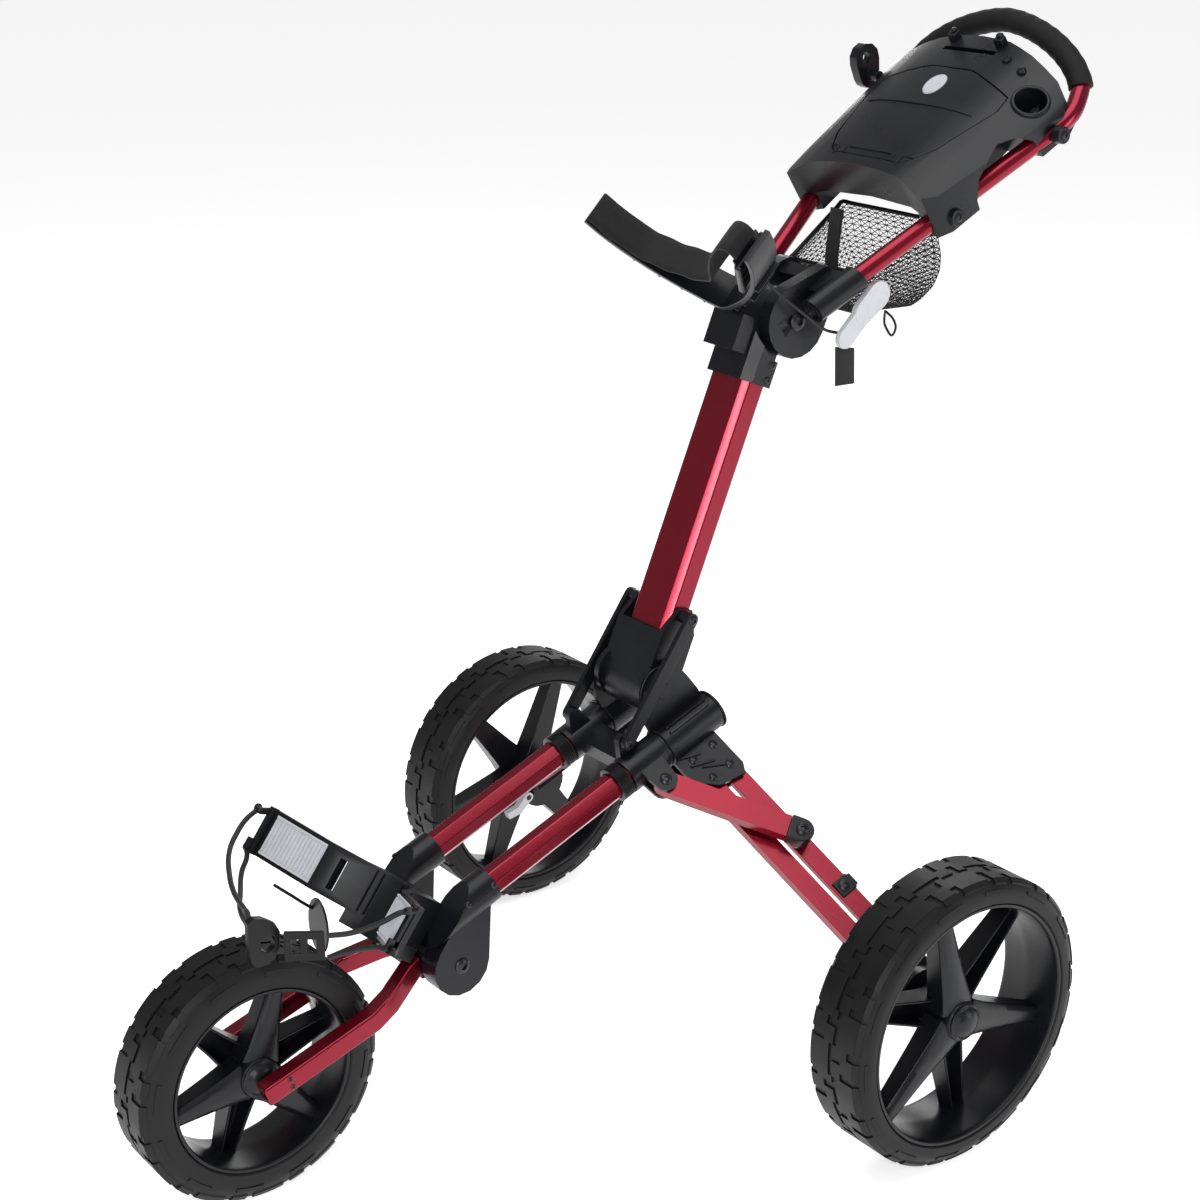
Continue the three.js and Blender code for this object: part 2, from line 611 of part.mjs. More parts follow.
function linkRod() {
  const foot = carry(new THREE.BoxGeometry(2, 2, 2).translate(0, ...ROD.foot), trolley, mast);
  foot.computeBoundingSphere();
  const { y, z } = foot.boundingSphere.center;
  const bar = prismX(capsule([0, EAR.z], [y, z], 7, 7, 8), ROD.inner, ROD.outer);
  return toSolid(bar);
}

add('mast_foot', mastFoot(), 'black', mast);
add('mast_tube', mastTube(), 'red', mast);
add('mast_head', mastHead(), 'black', mast);
addPair('link_rod', linkRod(), 'black', both(mast));

// ---------- upper bag cradle with its webbing strap and elastic loop
const WING = [[-121, 118], [-118, 108], [-104, 84], [-70, 50], [-24, 21], [0, 11], [24, 21], [70, 50], [104, 84],
  [118, 108], [121, 118]];
const STRAP = [[-117, 121], [-103, 93], [-80, 69], [-42, 57], [0, 54], [22, 61], [37, 82], [60, 106], [82, 122],
  [98, 124], [100, 112], [88, 97], [76, 81], [64, 66]];

function upperCradleBody() {
  return prismY(strip(smooth(WING, 22), 5.6), -18, 18);
}

function strap() {
  return prismY(strip(smooth(STRAP, 34), 2.6), -16, 16);
}

function strapBuckle() {
  return prismY(strip([[104, 106], [86, 78], [76, 62]], 4), -20, 20);
}

add('upper_cradle', upperCradleBody(), 'black', upperCradle);
add('cradle_strap', strap(), 'fabric', upperCradle);
add('strap_buckle', strapBuckle(), 'black', upperCradle);

const LOOP_CORD = [[40, 17, 797], [44, 36, 778], [53, 60, 757], [58, 84, 739], [60, 108, 729], [56, 113, 719]];
add('elastic_loop', rope(LOOP_CORD, 1.5, 20), 'rubber', trolley);

function elasticTab() {
  const outline = [[-10, 3], [9, 3], [11, -32], [-8, -36]];
  return prismZ(outline, -1.5, 1.5).rotateX(80 * DEG).rotateZ(40 * DEG).translate(55, 115, 713);
}

add('elastic_tab', elasticTab(), 'rubber', trolley);

// ---------- handle: hinge housing, one bent tube, foam grip and the quick-release lever
const tubeX = (y) => HANDLE.root + HANDLE.spread * y;

function handlePath() {
  const side = [14, 62, 110, 158, 206, 254, 296].map((y) => [tubeX(y), y, HANDLE.rise]);
  side.push([127.6, 318, 6.2], [127, 336, 7.2]);
  const arc = [];
  for (let i = 0; i <= 18; i += 1) {
    const angle = (Math.PI * (i + 1.2)) / 20.4;
    const along = GRIP.half * Math.sign(Math.cos(angle)) * Math.abs(Math.cos(angle)) ** GRIP.power;
    const reach = GRIP.reach * Math.sin(angle) ** GRIP.power;
    arc.push([along, GRIP.start + reach * Math.cos(GRIP.bend), HANDLE.rise + reach * Math.sin(GRIP.bend)]);
  }
  const back = side.slice().reverse().map(([x, y, z]) => [-x, y, z]);
  return { points: [...side, ...arc, ...back], gripFrom: side.length, gripTo: side.length + arc.length - 1 };
}

function tubeRings(points, from, to, radius, sides) {
  const rings = [];
  for (let i = from; i <= to; i += 1) {
    const here = new THREE.Vector3(...points[i]);
    const before = new THREE.Vector3(...points[Math.max(i - 1, 0)]);
    const after = new THREE.Vector3(...points[Math.min(i + 1, points.length - 1)]);
    const along = after.sub(before).normalize();
    const across = new THREE.Vector3(0, 0, 1).cross(along).normalize();
    const up = along.clone().cross(across);
    rings.push(circle(radius, sides).map(([u, v]) => here.clone().addScaledVector(across, u).addScaledVector(up, v)
      .toArray()));
  }
  return rings;
}

function handleTube() {
  const { points } = handlePath();
  return skin(tubeRings(points, 0, points.length - 1, HANDLE.tube, 10));
}

function grip() {
  const { points, gripFrom, gripTo } = handlePath();
  const outer = tubeRings(points, gripFrom, gripTo, GRIP.radius, 10);
  const inner = tubeRings(points, gripFrom, gripTo, HANDLE.tube + 3 * GAP, 10);
  return skin(outer, inner);
}

// A straight round bar along one of the splayed handle tubes.
function alongTube(from, to, radius, sides = 16) {
  const ring = (y) => circle(radius, sides).map(([u, v]) => [tubeX(y) + u, y, HANDLE.rise + v]);
  return skin([ring(from), ring(to)]);
}

function handleHinge() {
  const cheek = prismX(capsule([0, 0], [52, 8], 37, 15, 12), 20.4, 36);
  const bridge = box([-36, 40, -6], [36, 56, 19]);
  const link = box([30, 28, -5], [56, 60, 17]);
  const clamp = alongTube(12, 66, 14);
  const solid = join(bridge, cheek, mirrorX(cheek), link, mirrorX(link), clamp, mirrorX(clamp));
  const bore = alongTube(-20, 90, HANDLE.tube + 2 * GAP, 12);
  return cut(solid, bore, mirrorX(bore));
}

function lever() {
  const outline = capsule([18, -30], [48, -25], 10, 10, 6);
  const paddle = capsule([50, -23], [74, -21], 12, 14, 8);
  return join(prismX(outline, 67, 73), prismX(paddle, 67, 74));
}

add('handle_hinge', handleHinge(), 'black', handle);
add('handle_tube', handleTube(), 'red', handle);
add('handle_grip', grip(), 'foam', handle);
add('release_lever', lever(), 'grey', handle);

// ---------- console with its lid, the umbrella mount and the net bag below it
const PLAN = [[0, 164], [60, 160], [84, 151], [97, 148], [107, 160], [112, 188], [121, 240], [129, 290], [133, 316],
  [128, 330], [113, 342], [75, 356], [40, 366], [0, 369]];

function archOutline(lowerBy, bottom) {
  const top = [];
  for (let i = 0; i <= 12; i += 1) {
    const x = -CONSOLE.shoulder + (2 * CONSOLE.shoulder * i) / 12;
    top.push([x, CONSOLE.crown - lowerBy - CONSOLE.drop * (Math.abs(x) / CONSOLE.shoulder) ** 3]);
  }
  const edge = 134;
  return [[-edge, bottom], [edge, bottom], [edge, 14], [edge - 7, 26 - lowerBy], ...top.reverse(),
    [-edge + 7, 26 - lowerBy], [-edge, 14]];
}

function arch(lowerBy, bottom) {
  return toSolid(prismY(archOutline(lowerBy, bottom), CONSOLE.from, CONSOLE.to));
}

function scaled(outline, inset) {
  return outline.map(([x, y]) => [x - Math.sign(x) * inset, y - Math.sign(y - 247) * inset]);
}

function consoleShell() {
  const plan = [...PLAN, ...PLAN.slice(1, -1).reverse().map(([x, y]) => [-x, y])];
  const whole = arch(0, CONSOLE.low).intersect(toSolid(prismZ(plan, -20, 90)));
  const seat = arch(-2, CONSOLE.low).subtract(arch(3.3, -20)).intersect(toSolid(prismZ(LID_OUTLINE, 20, 90)));
  const pocket = prismZ(scaled(LID_OUTLINE, 7), 20, 90);
  const under = box([-74, 100, -30], [74, 400, 16]);
  const sideArch = [[192, -30], [196, 4], [206, 22], [222, 32], [244, 35], [262, 30], [276, 16], [282, -30]];
  const cutouts = [prismX(sideArch, 80, 200), prismX(sideArch, -200, -80)];
  const slot = box([-36, 343, 0], [36, 349, 90]);
  const socket = discZ(16, 14, 90, 108, 306, 20);
  const { points } = handlePath();
  const tube = skin(tubeRings(points, 0, points.length - 1, HANDLE.tube + 2 * GAP, 10));
  return cut(whole.subtract(seat), pocket, under, ...cutouts, slot, socket, tube);
}

function consoleLid() {
  const outline = toSolid(prismZ(scaled(LID_OUTLINE, 1), 20, 90));
  return arch(0.2, CONSOLE.low).subtract(arch(3.0, -20)).intersect(outline);
}

function umbrellaMount() {
  const stem = discX(6, -146.5, -131.2, 327, 23.5, 12);
  const plate = prismX(capsule([327, 23.5], [333, 40], 14, 17, 6), -158, -146, circle(6, 10, [333, 42]).reverse());
  return join(stem, plate);
}

add('console_shell', consoleShell(), 'black', handle);
add('console_lid', consoleLid(), 'black', handle);
add('umbrella_mount', umbrellaMount(), 'black', handle);

function netRing(front, back, frontY, backY, frontZ, backZ) {
  const ring = [];
  for (let i = 0; i <= 4; i += 1) ring.push([front - (2 * front * i) / 4, frontY, frontZ]);
  for (let i = 0; i <= 4; i += 1) ring.push([-back + (2 * back * i) / 4, backY, backZ]);
  return ring;
}

function netBag() {
  const levels = [
    [50, 68, 134, 220, 786, 832], [48, 72, 132, 226, 776, 806], [40, 66, 136, 232, 760, 778],
    [28, 50, 146, 236, 744, 752], [12, 20, 166, 232, 734, 730],
  ];
  const outer = levels.map((level) => netRing(...level));
  const inner = levels.slice(0, 4).map(([front, back, frontY, backY, frontZ, backZ]) => (
    netRing(front - 2, back - 2, frontY + 2, backY - 2, frontZ, backZ)));
  inner.push(netRing(10, 18, 168, 230, 736.5, 732.5));
  return toSolid(skin(outer)).subtract(toSolid(skin([raise(inner[0]), ...inner])));
}

function raise(ring) {
  return ring.map(([x, y, z]) => [x, y - 6, z + 12]);
}

add('net_bag', netBag(), 'fabric', trolley);

export default trolley;
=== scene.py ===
import bpy, bmesh, math
from mathutils import Matrix, Vector


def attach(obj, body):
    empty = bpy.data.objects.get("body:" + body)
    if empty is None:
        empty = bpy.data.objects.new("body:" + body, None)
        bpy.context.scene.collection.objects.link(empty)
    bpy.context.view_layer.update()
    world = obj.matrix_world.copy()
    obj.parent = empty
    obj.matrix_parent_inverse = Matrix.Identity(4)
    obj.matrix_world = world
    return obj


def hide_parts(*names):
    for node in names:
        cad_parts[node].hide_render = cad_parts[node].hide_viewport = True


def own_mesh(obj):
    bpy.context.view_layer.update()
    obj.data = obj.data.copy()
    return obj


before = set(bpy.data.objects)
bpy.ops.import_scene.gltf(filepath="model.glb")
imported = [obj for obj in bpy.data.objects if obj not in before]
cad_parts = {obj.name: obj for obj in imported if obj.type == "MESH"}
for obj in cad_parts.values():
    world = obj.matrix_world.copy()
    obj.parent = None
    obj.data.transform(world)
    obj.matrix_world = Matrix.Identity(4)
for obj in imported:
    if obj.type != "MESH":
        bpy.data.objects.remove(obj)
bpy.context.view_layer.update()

# Camera, floor and lights. A pale sheet of studio paper under the trolley, a broad soft light overhead, a
# tall strip beside the camera for the long streaks on the tubes and an even pale surround.
bpy.context.scene.view_settings.view_transform = "Standard"
camera = bpy.data.objects.new("camera", bpy.data.cameras.new("camera"))
camera.data.lens = 67.6
camera.data.sensor_width = 36
camera.location = (1.644, -1.2469, 1.242)
camera.rotation_euler = (math.radians(90 - 19.98), math.radians(0.05), math.radians(52.87))
bpy.context.scene.collection.objects.link(camera)
bpy.context.scene.camera = camera


def keep(mesh_or_bm, name):
    """Puts a finished mesh into the scene as an object."""
    mesh = mesh_or_bm
    if isinstance(mesh_or_bm, bmesh.types.BMesh):
        mesh = bpy.data.meshes.new(name)
        mesh_or_bm.to_mesh(mesh)
        mesh_or_bm.free()
    piece = bpy.data.objects.new(name, mesh)
    bpy.context.scene.collection.objects.link(piece)
    return piece


class Level:
    """A number that changes over a surface; the usual operators add Math nodes."""

    def __init__(self, finish, socket):
        self.finish, self.socket = finish, socket

    def _math(self, operation, first, second):
        return self.finish.node("ShaderNodeMath", {"operation": operation}, {0: first, 1: second})

    def __add__(self, other):
        return self._math("ADD", self, other)

    def __mul__(self, other):
        return self._math("MULTIPLY", self, other)

    __radd__, __rmul__ = __add__, __mul__


class Finish:
    """One material: a Principled shader and the nodes that vary it."""

    def __init__(self, name, colour, roughness, metallic=0.0, coat=0.0, specular=0.5, sheen=0.0):
        self.material = bpy.data.materials.new(name)
        self.material.use_nodes = True
        self.tree = self.material.node_tree
        self.shader = self.tree.nodes["Principled BSDF"]
        self.set({"Base Color": (*colour, 1), "Roughness": roughness, "Metallic": metallic})
        self.set({"Coat Weight": coat, "Coat Roughness": 0.15, "Specular IOR Level": specular})
        self.set({"Sheen Weight": sheen})

    def set(self, values):
        for key, value in values.items():
            self.plug(self.shader.inputs[key], value)

    def plug(self, socket, value):
        if isinstance(value, Level):
            self.tree.links.new(value.socket, socket)
        else:
            socket.default_value = value

    def node(self, kind, settings, values, out=0):
        made = self.tree.nodes.new(kind)
        for key, value in settings.items():
            setattr(made, key, value)
        for key, value in values.items():
            self.plug(made.inputs[key], value)
        return Level(self, made.outputs[out])

    def place(self, kind="Object"):
        return self.node("ShaderNodeTexCoord", {}, {}, kind)

    def noise(self, scale, detail=3.0):
        return self.node("ShaderNodeTexNoise", {}, {"Vector": self.place(), "Scale": scale, "Detail": detail})

    def blend(self, factor, first, second):
        values = {0: factor, 6: (*first, 1), 7: (*second, 1)}
        return self.node("ShaderNodeMix", {"data_type": "RGBA"}, values, 2)

    def bump(self, height, strength, distance):
        made = self.node("ShaderNodeBump", {}, {"Height": height, "Strength": strength, "Distance": distance})
        self.set({"Normal": made})


paper = Finish("studio_paper", (0.95, 0.95, 0.95), 0.9)
paper.set({"Emission Color": (1, 1, 1, 1), "Emission Strength": 0.62})
paper.bump(paper.noise(300), 0.05, 0.0005)
sheet = bmesh.new()
bmesh.ops.create_grid(sheet, x_segments=2, y_segments=2, size=14, matrix=Matrix.Translation((0, 0, -0.0006)))
floor = keep(sheet, "floor")
floor.data.materials.append(paper.material)

world = bpy.data.worlds.new("surround")
world.use_nodes = True
world.node_tree.nodes["Background"].inputs["Color"].default_value = (1, 1, 1, 1)
world.node_tree.nodes["Background"].inputs["Strength"].default_value = 0.3
bright = world.node_tree.nodes.new("ShaderNodeBackground")
bright.inputs["Strength"].default_value = 1.0
seen = world.node_tree.nodes.new("ShaderNodeLightPath")
either = world.node_tree.nodes.new("ShaderNodeMixShader")
for source, socket in ((seen.outputs["Is Camera Ray"], either.inputs[0]),
                       (world.node_tree.nodes["Background"].outputs[0], either.inputs[1]),
                       (bright.outputs[0], either.inputs[2]),
                       (either.outputs[0], world.node_tree.nodes["World Output"].inputs["Surface"])):
    world.node_tree.links.new(source, socket)
bpy.context.scene.world = world
for name, spot, size, power in (
        ("overhead", (0.3, -0.2, 3.6), (3.0, 3.0), 75), ("strip", (2.3, -2.0, 1.5), (0.22, 1.7), 40),
        ("back", (-1.7, 1.9, 1.6), (0.8, 1.6), 18), ("side", (2.6, 1.6, 0.9), (0.5, 1.4), 14)):
    lamp = bpy.data.objects.new(name, bpy.data.lights.new(name, "AREA"))
    lamp.data.shape = "RECTANGLE"
    lamp.data.energy, lamp.data.size, lamp.data.size_y, lamp.location = power, size[0], size[1], spot
    lamp.rotation_euler = (Vector((0, 0, 0.45)) - Vector(spot)).to_track_quat("-Z", "Y").to_euler()
    bpy.context.scene.collection.objects.link(lamp)

# Elastic cords of the two cradles. Rubber strands in a black braided sleeve, hooked over the cradle's
# tips and drawn together by a moulded hook and a short ladder of links.
CORD_RADIUS = 0.0026
AXLE_Y = 144.1
braid = Finish("braided_sleeve", (0.005, 0.005, 0.006), 0.6)
strands = braid.node("ShaderNodeTexVoronoi", {}, {"Vector": braid.place(), "Scale": 900.0})
braid.set({"Base Color": braid.blend(strands, (0.010, 0.010, 0.011), (0.002, 0.002, 0.003))})
braid.bump(strands, 0.5, 0.0006)


def curved(name, points, radius, finish, body):
    """A round cord or wire along the points, in metres."""
    data = bpy.data.curves.new(name, "CURVE")
    data.dimensions = "3D"
    data.bevel_depth = radius
    data.bevel_resolution = 3
    data.use_fill_caps = True
    spline = data.splines.new("BEZIER")
    spline.bezier_points.add(len(points) - 1)
    for knot, point in zip(spline.bezier_points, points):
        knot.co = point
        knot.handle_left_type = knot.handle_right_type = "AUTO"
    piece = bpy.data.objects.new(name, data)
    bpy.context.scene.collection.objects.link(piece)
    data.materials.append(finish.material)
    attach(piece, body)
    return piece


def route(points):
    """Millimetres measured from the rear axle, as metres in the part's frame."""
    return [Vector((x, y + AXLE_Y, z)) / 1000 for x, y, z in points]


def soften(bm, width, segments=2, sharp=30):
    """Rounds every edge sharper than the given angle and leaves the rest smooth-shaded."""
    bmesh.ops.dissolve_limit(bm, angle_limit=math.radians(1), verts=bm.verts, edges=bm.edges)
    limit = math.radians(sharp)
    edges = [e for e in bm.edges if len(e.link_faces) == 2 and e.calc_face_angle(0) > limit]
    bmesh.ops.bevel(bm, geom=edges, offset=width, segments=segments, profile=0.5, affect="EDGES",
                    clamp_overlap=True, material=-1)
    for face in bm.faces:
        face.smooth = True
    for edge in bm.edges:
        edge.smooth = len(edge.link_faces) != 2 or edge.calc_face_angle(0) < math.radians(38)


def even_shading(piece):
    modifier = piece.modifiers.new("even_shading", "WEIGHTED_NORMAL")
    modifier.keep_sharp = True


def moulded(node, finish, body, width=0.0009):
    """The piece that a CAD node stands for, with its edges rounded."""
    bm = bmesh.new()
    bm.from_mesh(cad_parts[node].data)
    bmesh.ops.remove_doubles(bm, verts=bm.verts, dist=1e-5)
    soften(bm, width)
    piece = keep(bm, node + "_piece")
    even_shading(piece)
    piece.data.materials.append(finish.material)
    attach(piece, body)
    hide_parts(node)
    return piece


# The hook, the ladder of links and the tab are soft black rubber mouldings.
soft_rubber = Finish("soft_rubber", (0.004, 0.004, 0.005), 0.4, specular=0.25)
soft_rubber.set({"Roughness": soft_rubber.noise(80.0) * 0.2 + 0.28})
soft_rubber.bump(soft_rubber.noise(1600.0), 0.15, 0.0003)
hook = moulded("bungee_hook", soft_rubber, "frame", 0.0016)
links = moulded("bungee_links", soft_rubber, "frame", 0.0009)
tab = moulded("elastic_tab", soft_rubber, "mast", 0.0006)

front_loop = route([
    (-134, -462, 307), (-126, -478, 305), (-112, -496, 301), (-92, -515, 296), (-62, -532, 290),
    (-28, -545, 286), (5, -553, 287), (25, -560, 290), (27, -561, 284), (14, -557, 279),
    (-15, -547, 276), (-50, -528, 272), (-95, -502, 269), (-118, -484, 270), (-134, -476, 271)])
upper_run = route([(78.5, -511, 278), (92, -494, 281), (108, -474, 291), (122, -462, 303), (131, -461, 308)])
lower_run = route([(78.5, -511, 256), (90, -498, 262), (104, -484, 268), (120, -476, 272), (131, -475, 274)])
loop_run = route([(40, 17, 797), (44, 36, 778), (53, 60, 757), (58, 84, 739), (60, 108, 729), (56, 113, 719)])

for name, node, run, radius, body, far_end, on_it in (
        ("front_elastic", "bungee_cord_front", front_loop, CORD_RADIUS, "frame", "object", [hook]),
        ("rear_elastic_upper", "bungee_cord_upper", upper_run, CORD_RADIUS, "frame", "object", [links]),
        ("rear_elastic_lower", "bungee_cord_lower", lower_run, CORD_RADIUS, "frame", "object", []),
        ("thin_elastic", "elastic_loop", loop_run, 0.0015, "mast", "fitting", [tab])):
    elastic = curved(name, run, radius, braid, body)
    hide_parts(node)

for name, spots in (("front_upper", [(-137, -458, 309), (-134, -461, 308), (-129, -450, 304)]),
                    ("front_lower", [(-137, -472, 272), (-134, -476, 271), (-128, -473, 270)]),
                    ("rear_upper", [(134, -457, 309), (131, -460, 308), (127, -450, 304)]),
                    ("rear_lower", [(134, -473, 273), (131, -475, 274), (127, -472, 271)])):
    curved("cord_end_" + name, route(spots), 0.0036, soft_rubber, "frame")

# Moulded black nylon: every bracket, sleeve, socket and cradle. Glass-filled, with a fine spark-eroded
# grain, softened edges from the tool and a faint polish where hands and bags rub.
nylon = Finish("moulded_nylon", (0.005, 0.0055, 0.007), 0.3, specular=0.3)
grain = nylon.noise(2600.0, 2.0)
cloudy = nylon.noise(22.0, 4.0)
nylon.set({"Base Color": nylon.blend(cloudy, (0.0030, 0.0033, 0.0045), (0.0070, 0.0076, 0.0100))})
nylon.set({"Roughness": cloudy * 0.2 + 0.2})
nylon.bump(grain, 0.22, 0.0003)

for node, body, width in (
        ("front_sleeve_left", "frame", 0.0012), ("front_sleeve_right", "frame", 0.0012),
        ("leg_bracket_left", "frame", 0.001), ("leg_bracket_right", "frame", 0.001),
        ("slider", "slider", 0.001), ("mast_foot", "mast", 0.0012), ("mast_head", "mast", 0.0014),
        ("link_rod_left", "link_rod_left", 0.001), ("link_rod_right", "link_rod_right", 0.001),
        ("strut_cap_left", "strut_left", 0.0014), ("strut_cap_right", "strut_right", 0.0014),
        ("hub_carrier_left", "hub_carrier_left", 0.0008), ("hub_carrier_right", "hub_carrier_right", 0.0008),
        ("fork_crown", "fork", 0.002), ("lower_cradle", "frame", 0.0012), ("upper_cradle", "mast", 0.001),
        ("handle_hinge", "handle", 0.0014), ("umbrella_mount", "umbrella_mount", 0.0014),
        ("tag_plate", "frame", 0.0006)):
    moulded(node, nylon, body, width)

# Red tubes: extruded aluminium, cut to length, glass-bead blasted and anodised a deep glossy red, so the
# chamfers of the sections catch long light streaks.
anodised = Finish("red_anodising", (0.23, 0.003, 0.017), 0.24, metallic=0.75, coat=0.25)
streak = anodised.noise(9.0, 5.0)
pores = anodised.noise(1800.0, 2.0)
anodised.set({"Base Color": anodised.blend(streak, (0.205, 0.0025, 0.0155), (0.255, 0.004, 0.021))})
anodised.set({"Roughness": pores * 0.10 + 0.2})
anodised.bump(pores, 0.08, 0.0002)

for node, body, width in (
        ("lower_tube_left", "frame", 0.003), ("lower_tube_right", "frame", 0.003),
        ("leg_rail_lower_left", "lower_rail_left", 0.0008),
        ("leg_rail_lower_right", "lower_rail_right", 0.0008),
        ("leg_rail_upper_left", "upper_rail_left", 0.001),
        ("leg_rail_upper_right", "upper_rail_right", 0.001),
        ("leg_strut_left", "strut_left", 0.0015), ("leg_strut_right", "strut_right", 0.0015),
        ("mast_tube", "mast", 0.0022)):
    moulded(node, anodised, body, width)

# The fork's arms are square tube with closed ends, bent out from the crown and then down to the axle. Their
# points are measured from the fork's pivot, in millimetres.
FORK_Y = -357
FORK_Z = 188
ARM = [(24, -28.3, -4), (29, -40, -7), (45, -72, -20), (47, -92, -31), (47, -146, -48), (47, -210, -68.5)]
for side, name in ((1, "left"), (-1, "right")):
    bm = bmesh.new()
    rings = []
    for i, (x, y, z) in enumerate(ARM):
        first, following = ARM[max(i - 1, 0)], ARM[min(i + 1, len(ARM) - 1)]
        fall = 0 if i == 0 else math.atan2(first[2] - following[2], first[1] - following[1])
        place = Matrix.Translation((side * x / 1000, (y + FORK_Y + AXLE_Y) / 1000, (z + FORK_Z) / 1000))
        upright = Matrix.Rotation(math.radians(90) + fall, 4, "X")
        square = Matrix.Diagonal((0.0127, 0.0141, 1, 1)) @ Matrix.Rotation(math.radians(45), 4, "Z")
        ring = bmesh.ops.create_circle(bm, segments=4, radius=1, matrix=place @ upright @ square)
        rings.append(list({edge for vert in ring["verts"] for edge in vert.link_edges}))
    for one, two in zip(rings, rings[1:]):
        bmesh.ops.bridge_loops(bm, edges=one + two)
    bmesh.ops.holes_fill(bm, edges=[edge for edge in bm.edges if edge.is_boundary])
    bmesh.ops.recalc_face_normals(bm, faces=bm.faces)
    soften(bm, 0.0024, 3, 40)
    piece = keep(bm, f"fork_arm_{name}_tube")
    even_shading(piece)
    piece.data.materials.append(anodised.material)
    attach(piece, "fork")
    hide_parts(f"fork_arm_{name}")

# Pins: the fork's pivot is zinc-plated bar, turned to size. Only the ends of the mast's pivot can be seen,
# and they are as black as the castings round them.
zinc = Finish("zinc_plate", (0.42, 0.42, 0.44), 0.32, metallic=1.0)
zinc.set({"Roughness": zinc.noise(240.0) * 0.25 + 0.22})
zinc.bump(zinc.noise(1500.0), 0.1, 0.0002)
moulded("fork_pivot_pin", zinc, "frame", 0.0006)
moulded("mast_pivot_pin", nylon, "frame", 0.0006)

# Light grey mouldings: the two ribbed pads that the bag's base lies on, the handle's clamp lever and the
# parking-brake pedal.
pale = Finish("pale_grey_nylon", (0.50, 0.51, 0.54), 0.4)
mottle = pale.noise(60.0, 4.0)
pale.set({"Base Color": pale.blend(mottle, (0.44, 0.45, 0.48), (0.58, 0.59, 0.62))})
pale.bump(pale.noise(2200.0), 0.15, 0.0002)
moulded("release_lever", pale, "release_lever", 0.0016)
moulded("brake_pedal", pale, "brake_pedal", 0.001)


def tilt(y, z, degrees):
    """The matrix of an assembly frame turned about X, with millimetres measured from the rear axle."""
    place = Matrix.Translation((0, (y + AXLE_Y) / 1000, z / 1000))
    return place @ Matrix.Rotation(math.radians(degrees), 4, "X")


LOWER_CRADLE = tilt(-405, 240, 53.13)
RIBS = 15
for side, name in ((1, "left"), (-1, "right")):
    bm = bmesh.new()
    slope = math.atan2(26.3, 56.5)
    length = math.hypot(56.5, 26.3) / 1000
    flat = Matrix.Translation((0.09175, 0.0045, 0.05625)) @ Matrix.Rotation(-slope, 4, "Y")
    bmesh.ops.create_cube(bm, size=1, matrix=Matrix.Translation((0, 0, 0.0008)) @ Matrix.Diagonal(
        (length, 0.041, 0.0010, 1)))
    for i in range(RIBS):
        along = -length / 2 + length * (i + 0.5) / RIBS
        rib = Matrix.Translation((along, 0, 0.0016))
        rib = rib @ Matrix.Diagonal((length / RIBS * 0.55, 0.034, 0.0016, 1))
        bmesh.ops.create_cube(bm, size=1, matrix=rib)
    for y in (-0.0192, 0.0192):
        bmesh.ops.create_cube(bm, size=1, matrix=Matrix.Translation((0, y, 0.0013)) @ Matrix.Diagonal(
            (length, 0.002, 0.002, 1)))
    bmesh.ops.transform(bm, matrix=flat, verts=bm.verts)
    if side < 0:
        bmesh.ops.scale(bm, vec=(-1, 1, 1), verts=bm.verts)
        bmesh.ops.reverse_faces(bm, faces=bm.faces)
    bmesh.ops.transform(bm, matrix=LOWER_CRADLE, verts=bm.verts)
    soften(bm, 0.0003, 1)
    pad = keep(bm, f"ribbed_pad_{name}")
    even_shading(pad)
    pad.data.materials.append(pale.material)
    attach(pad, "frame")
    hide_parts(f"cradle_pad_{name}")

# Wheels: a solid rubber tyre with a block tread, pressed onto a one-piece nylon rim. The rim has three
# closed tapered blades, three recessed ones between them and a domed cap over the axle.
rubber = Finish("tyre_rubber", (0.005, 0.005, 0.0055), 0.5, specular=0.24)
dusty = rubber.noise(45.0, 5.0)
rubber.set({"Base Color": rubber.blend(dusty, (0.0032, 0.0032, 0.0036), (0.0085, 0.0085, 0.0090))})
rubber.set({"Roughness": dusty * 0.25 + 0.36})
rubber.bump(rubber.noise(900.0), 0.15, 0.0004)
ON_SIDE = Matrix.Rotation(math.radians(90), 4, "Y")


def spun(bm, profile, steps):
    """Turns (radius, x) points in millimetres a full circle round the X axis; returns the new faces."""
    before = set(bm.faces)
    verts = [bm.verts.new((x / 1000, 0, radius / 1000)) for radius, x in profile]
    edges = [bm.edges.new(pair) for pair in zip(verts, verts[1:])]
    bmesh.ops.spin(bm, geom=verts + edges, cent=(0, 0, 0), axis=(1, 0, 0), angle=2 * math.pi, steps=steps,
                   use_merge=True)
    bmesh.ops.remove_doubles(bm, verts=bm.verts, dist=1e-7)
    return [face for face in bm.faces if face not in before]


# Rows run from the rim's lip to the middle of the tread; a hash is a raised block.
TREAD_HEIGHT = 1.7
TREAD = ("........",
         "........",
         "........",
         "........",
         "........",
         ".####...",
         "........",
         "##.##.##",
         "##.##.##",
         "##.#####",
         "####.###",
         "..##.#..")


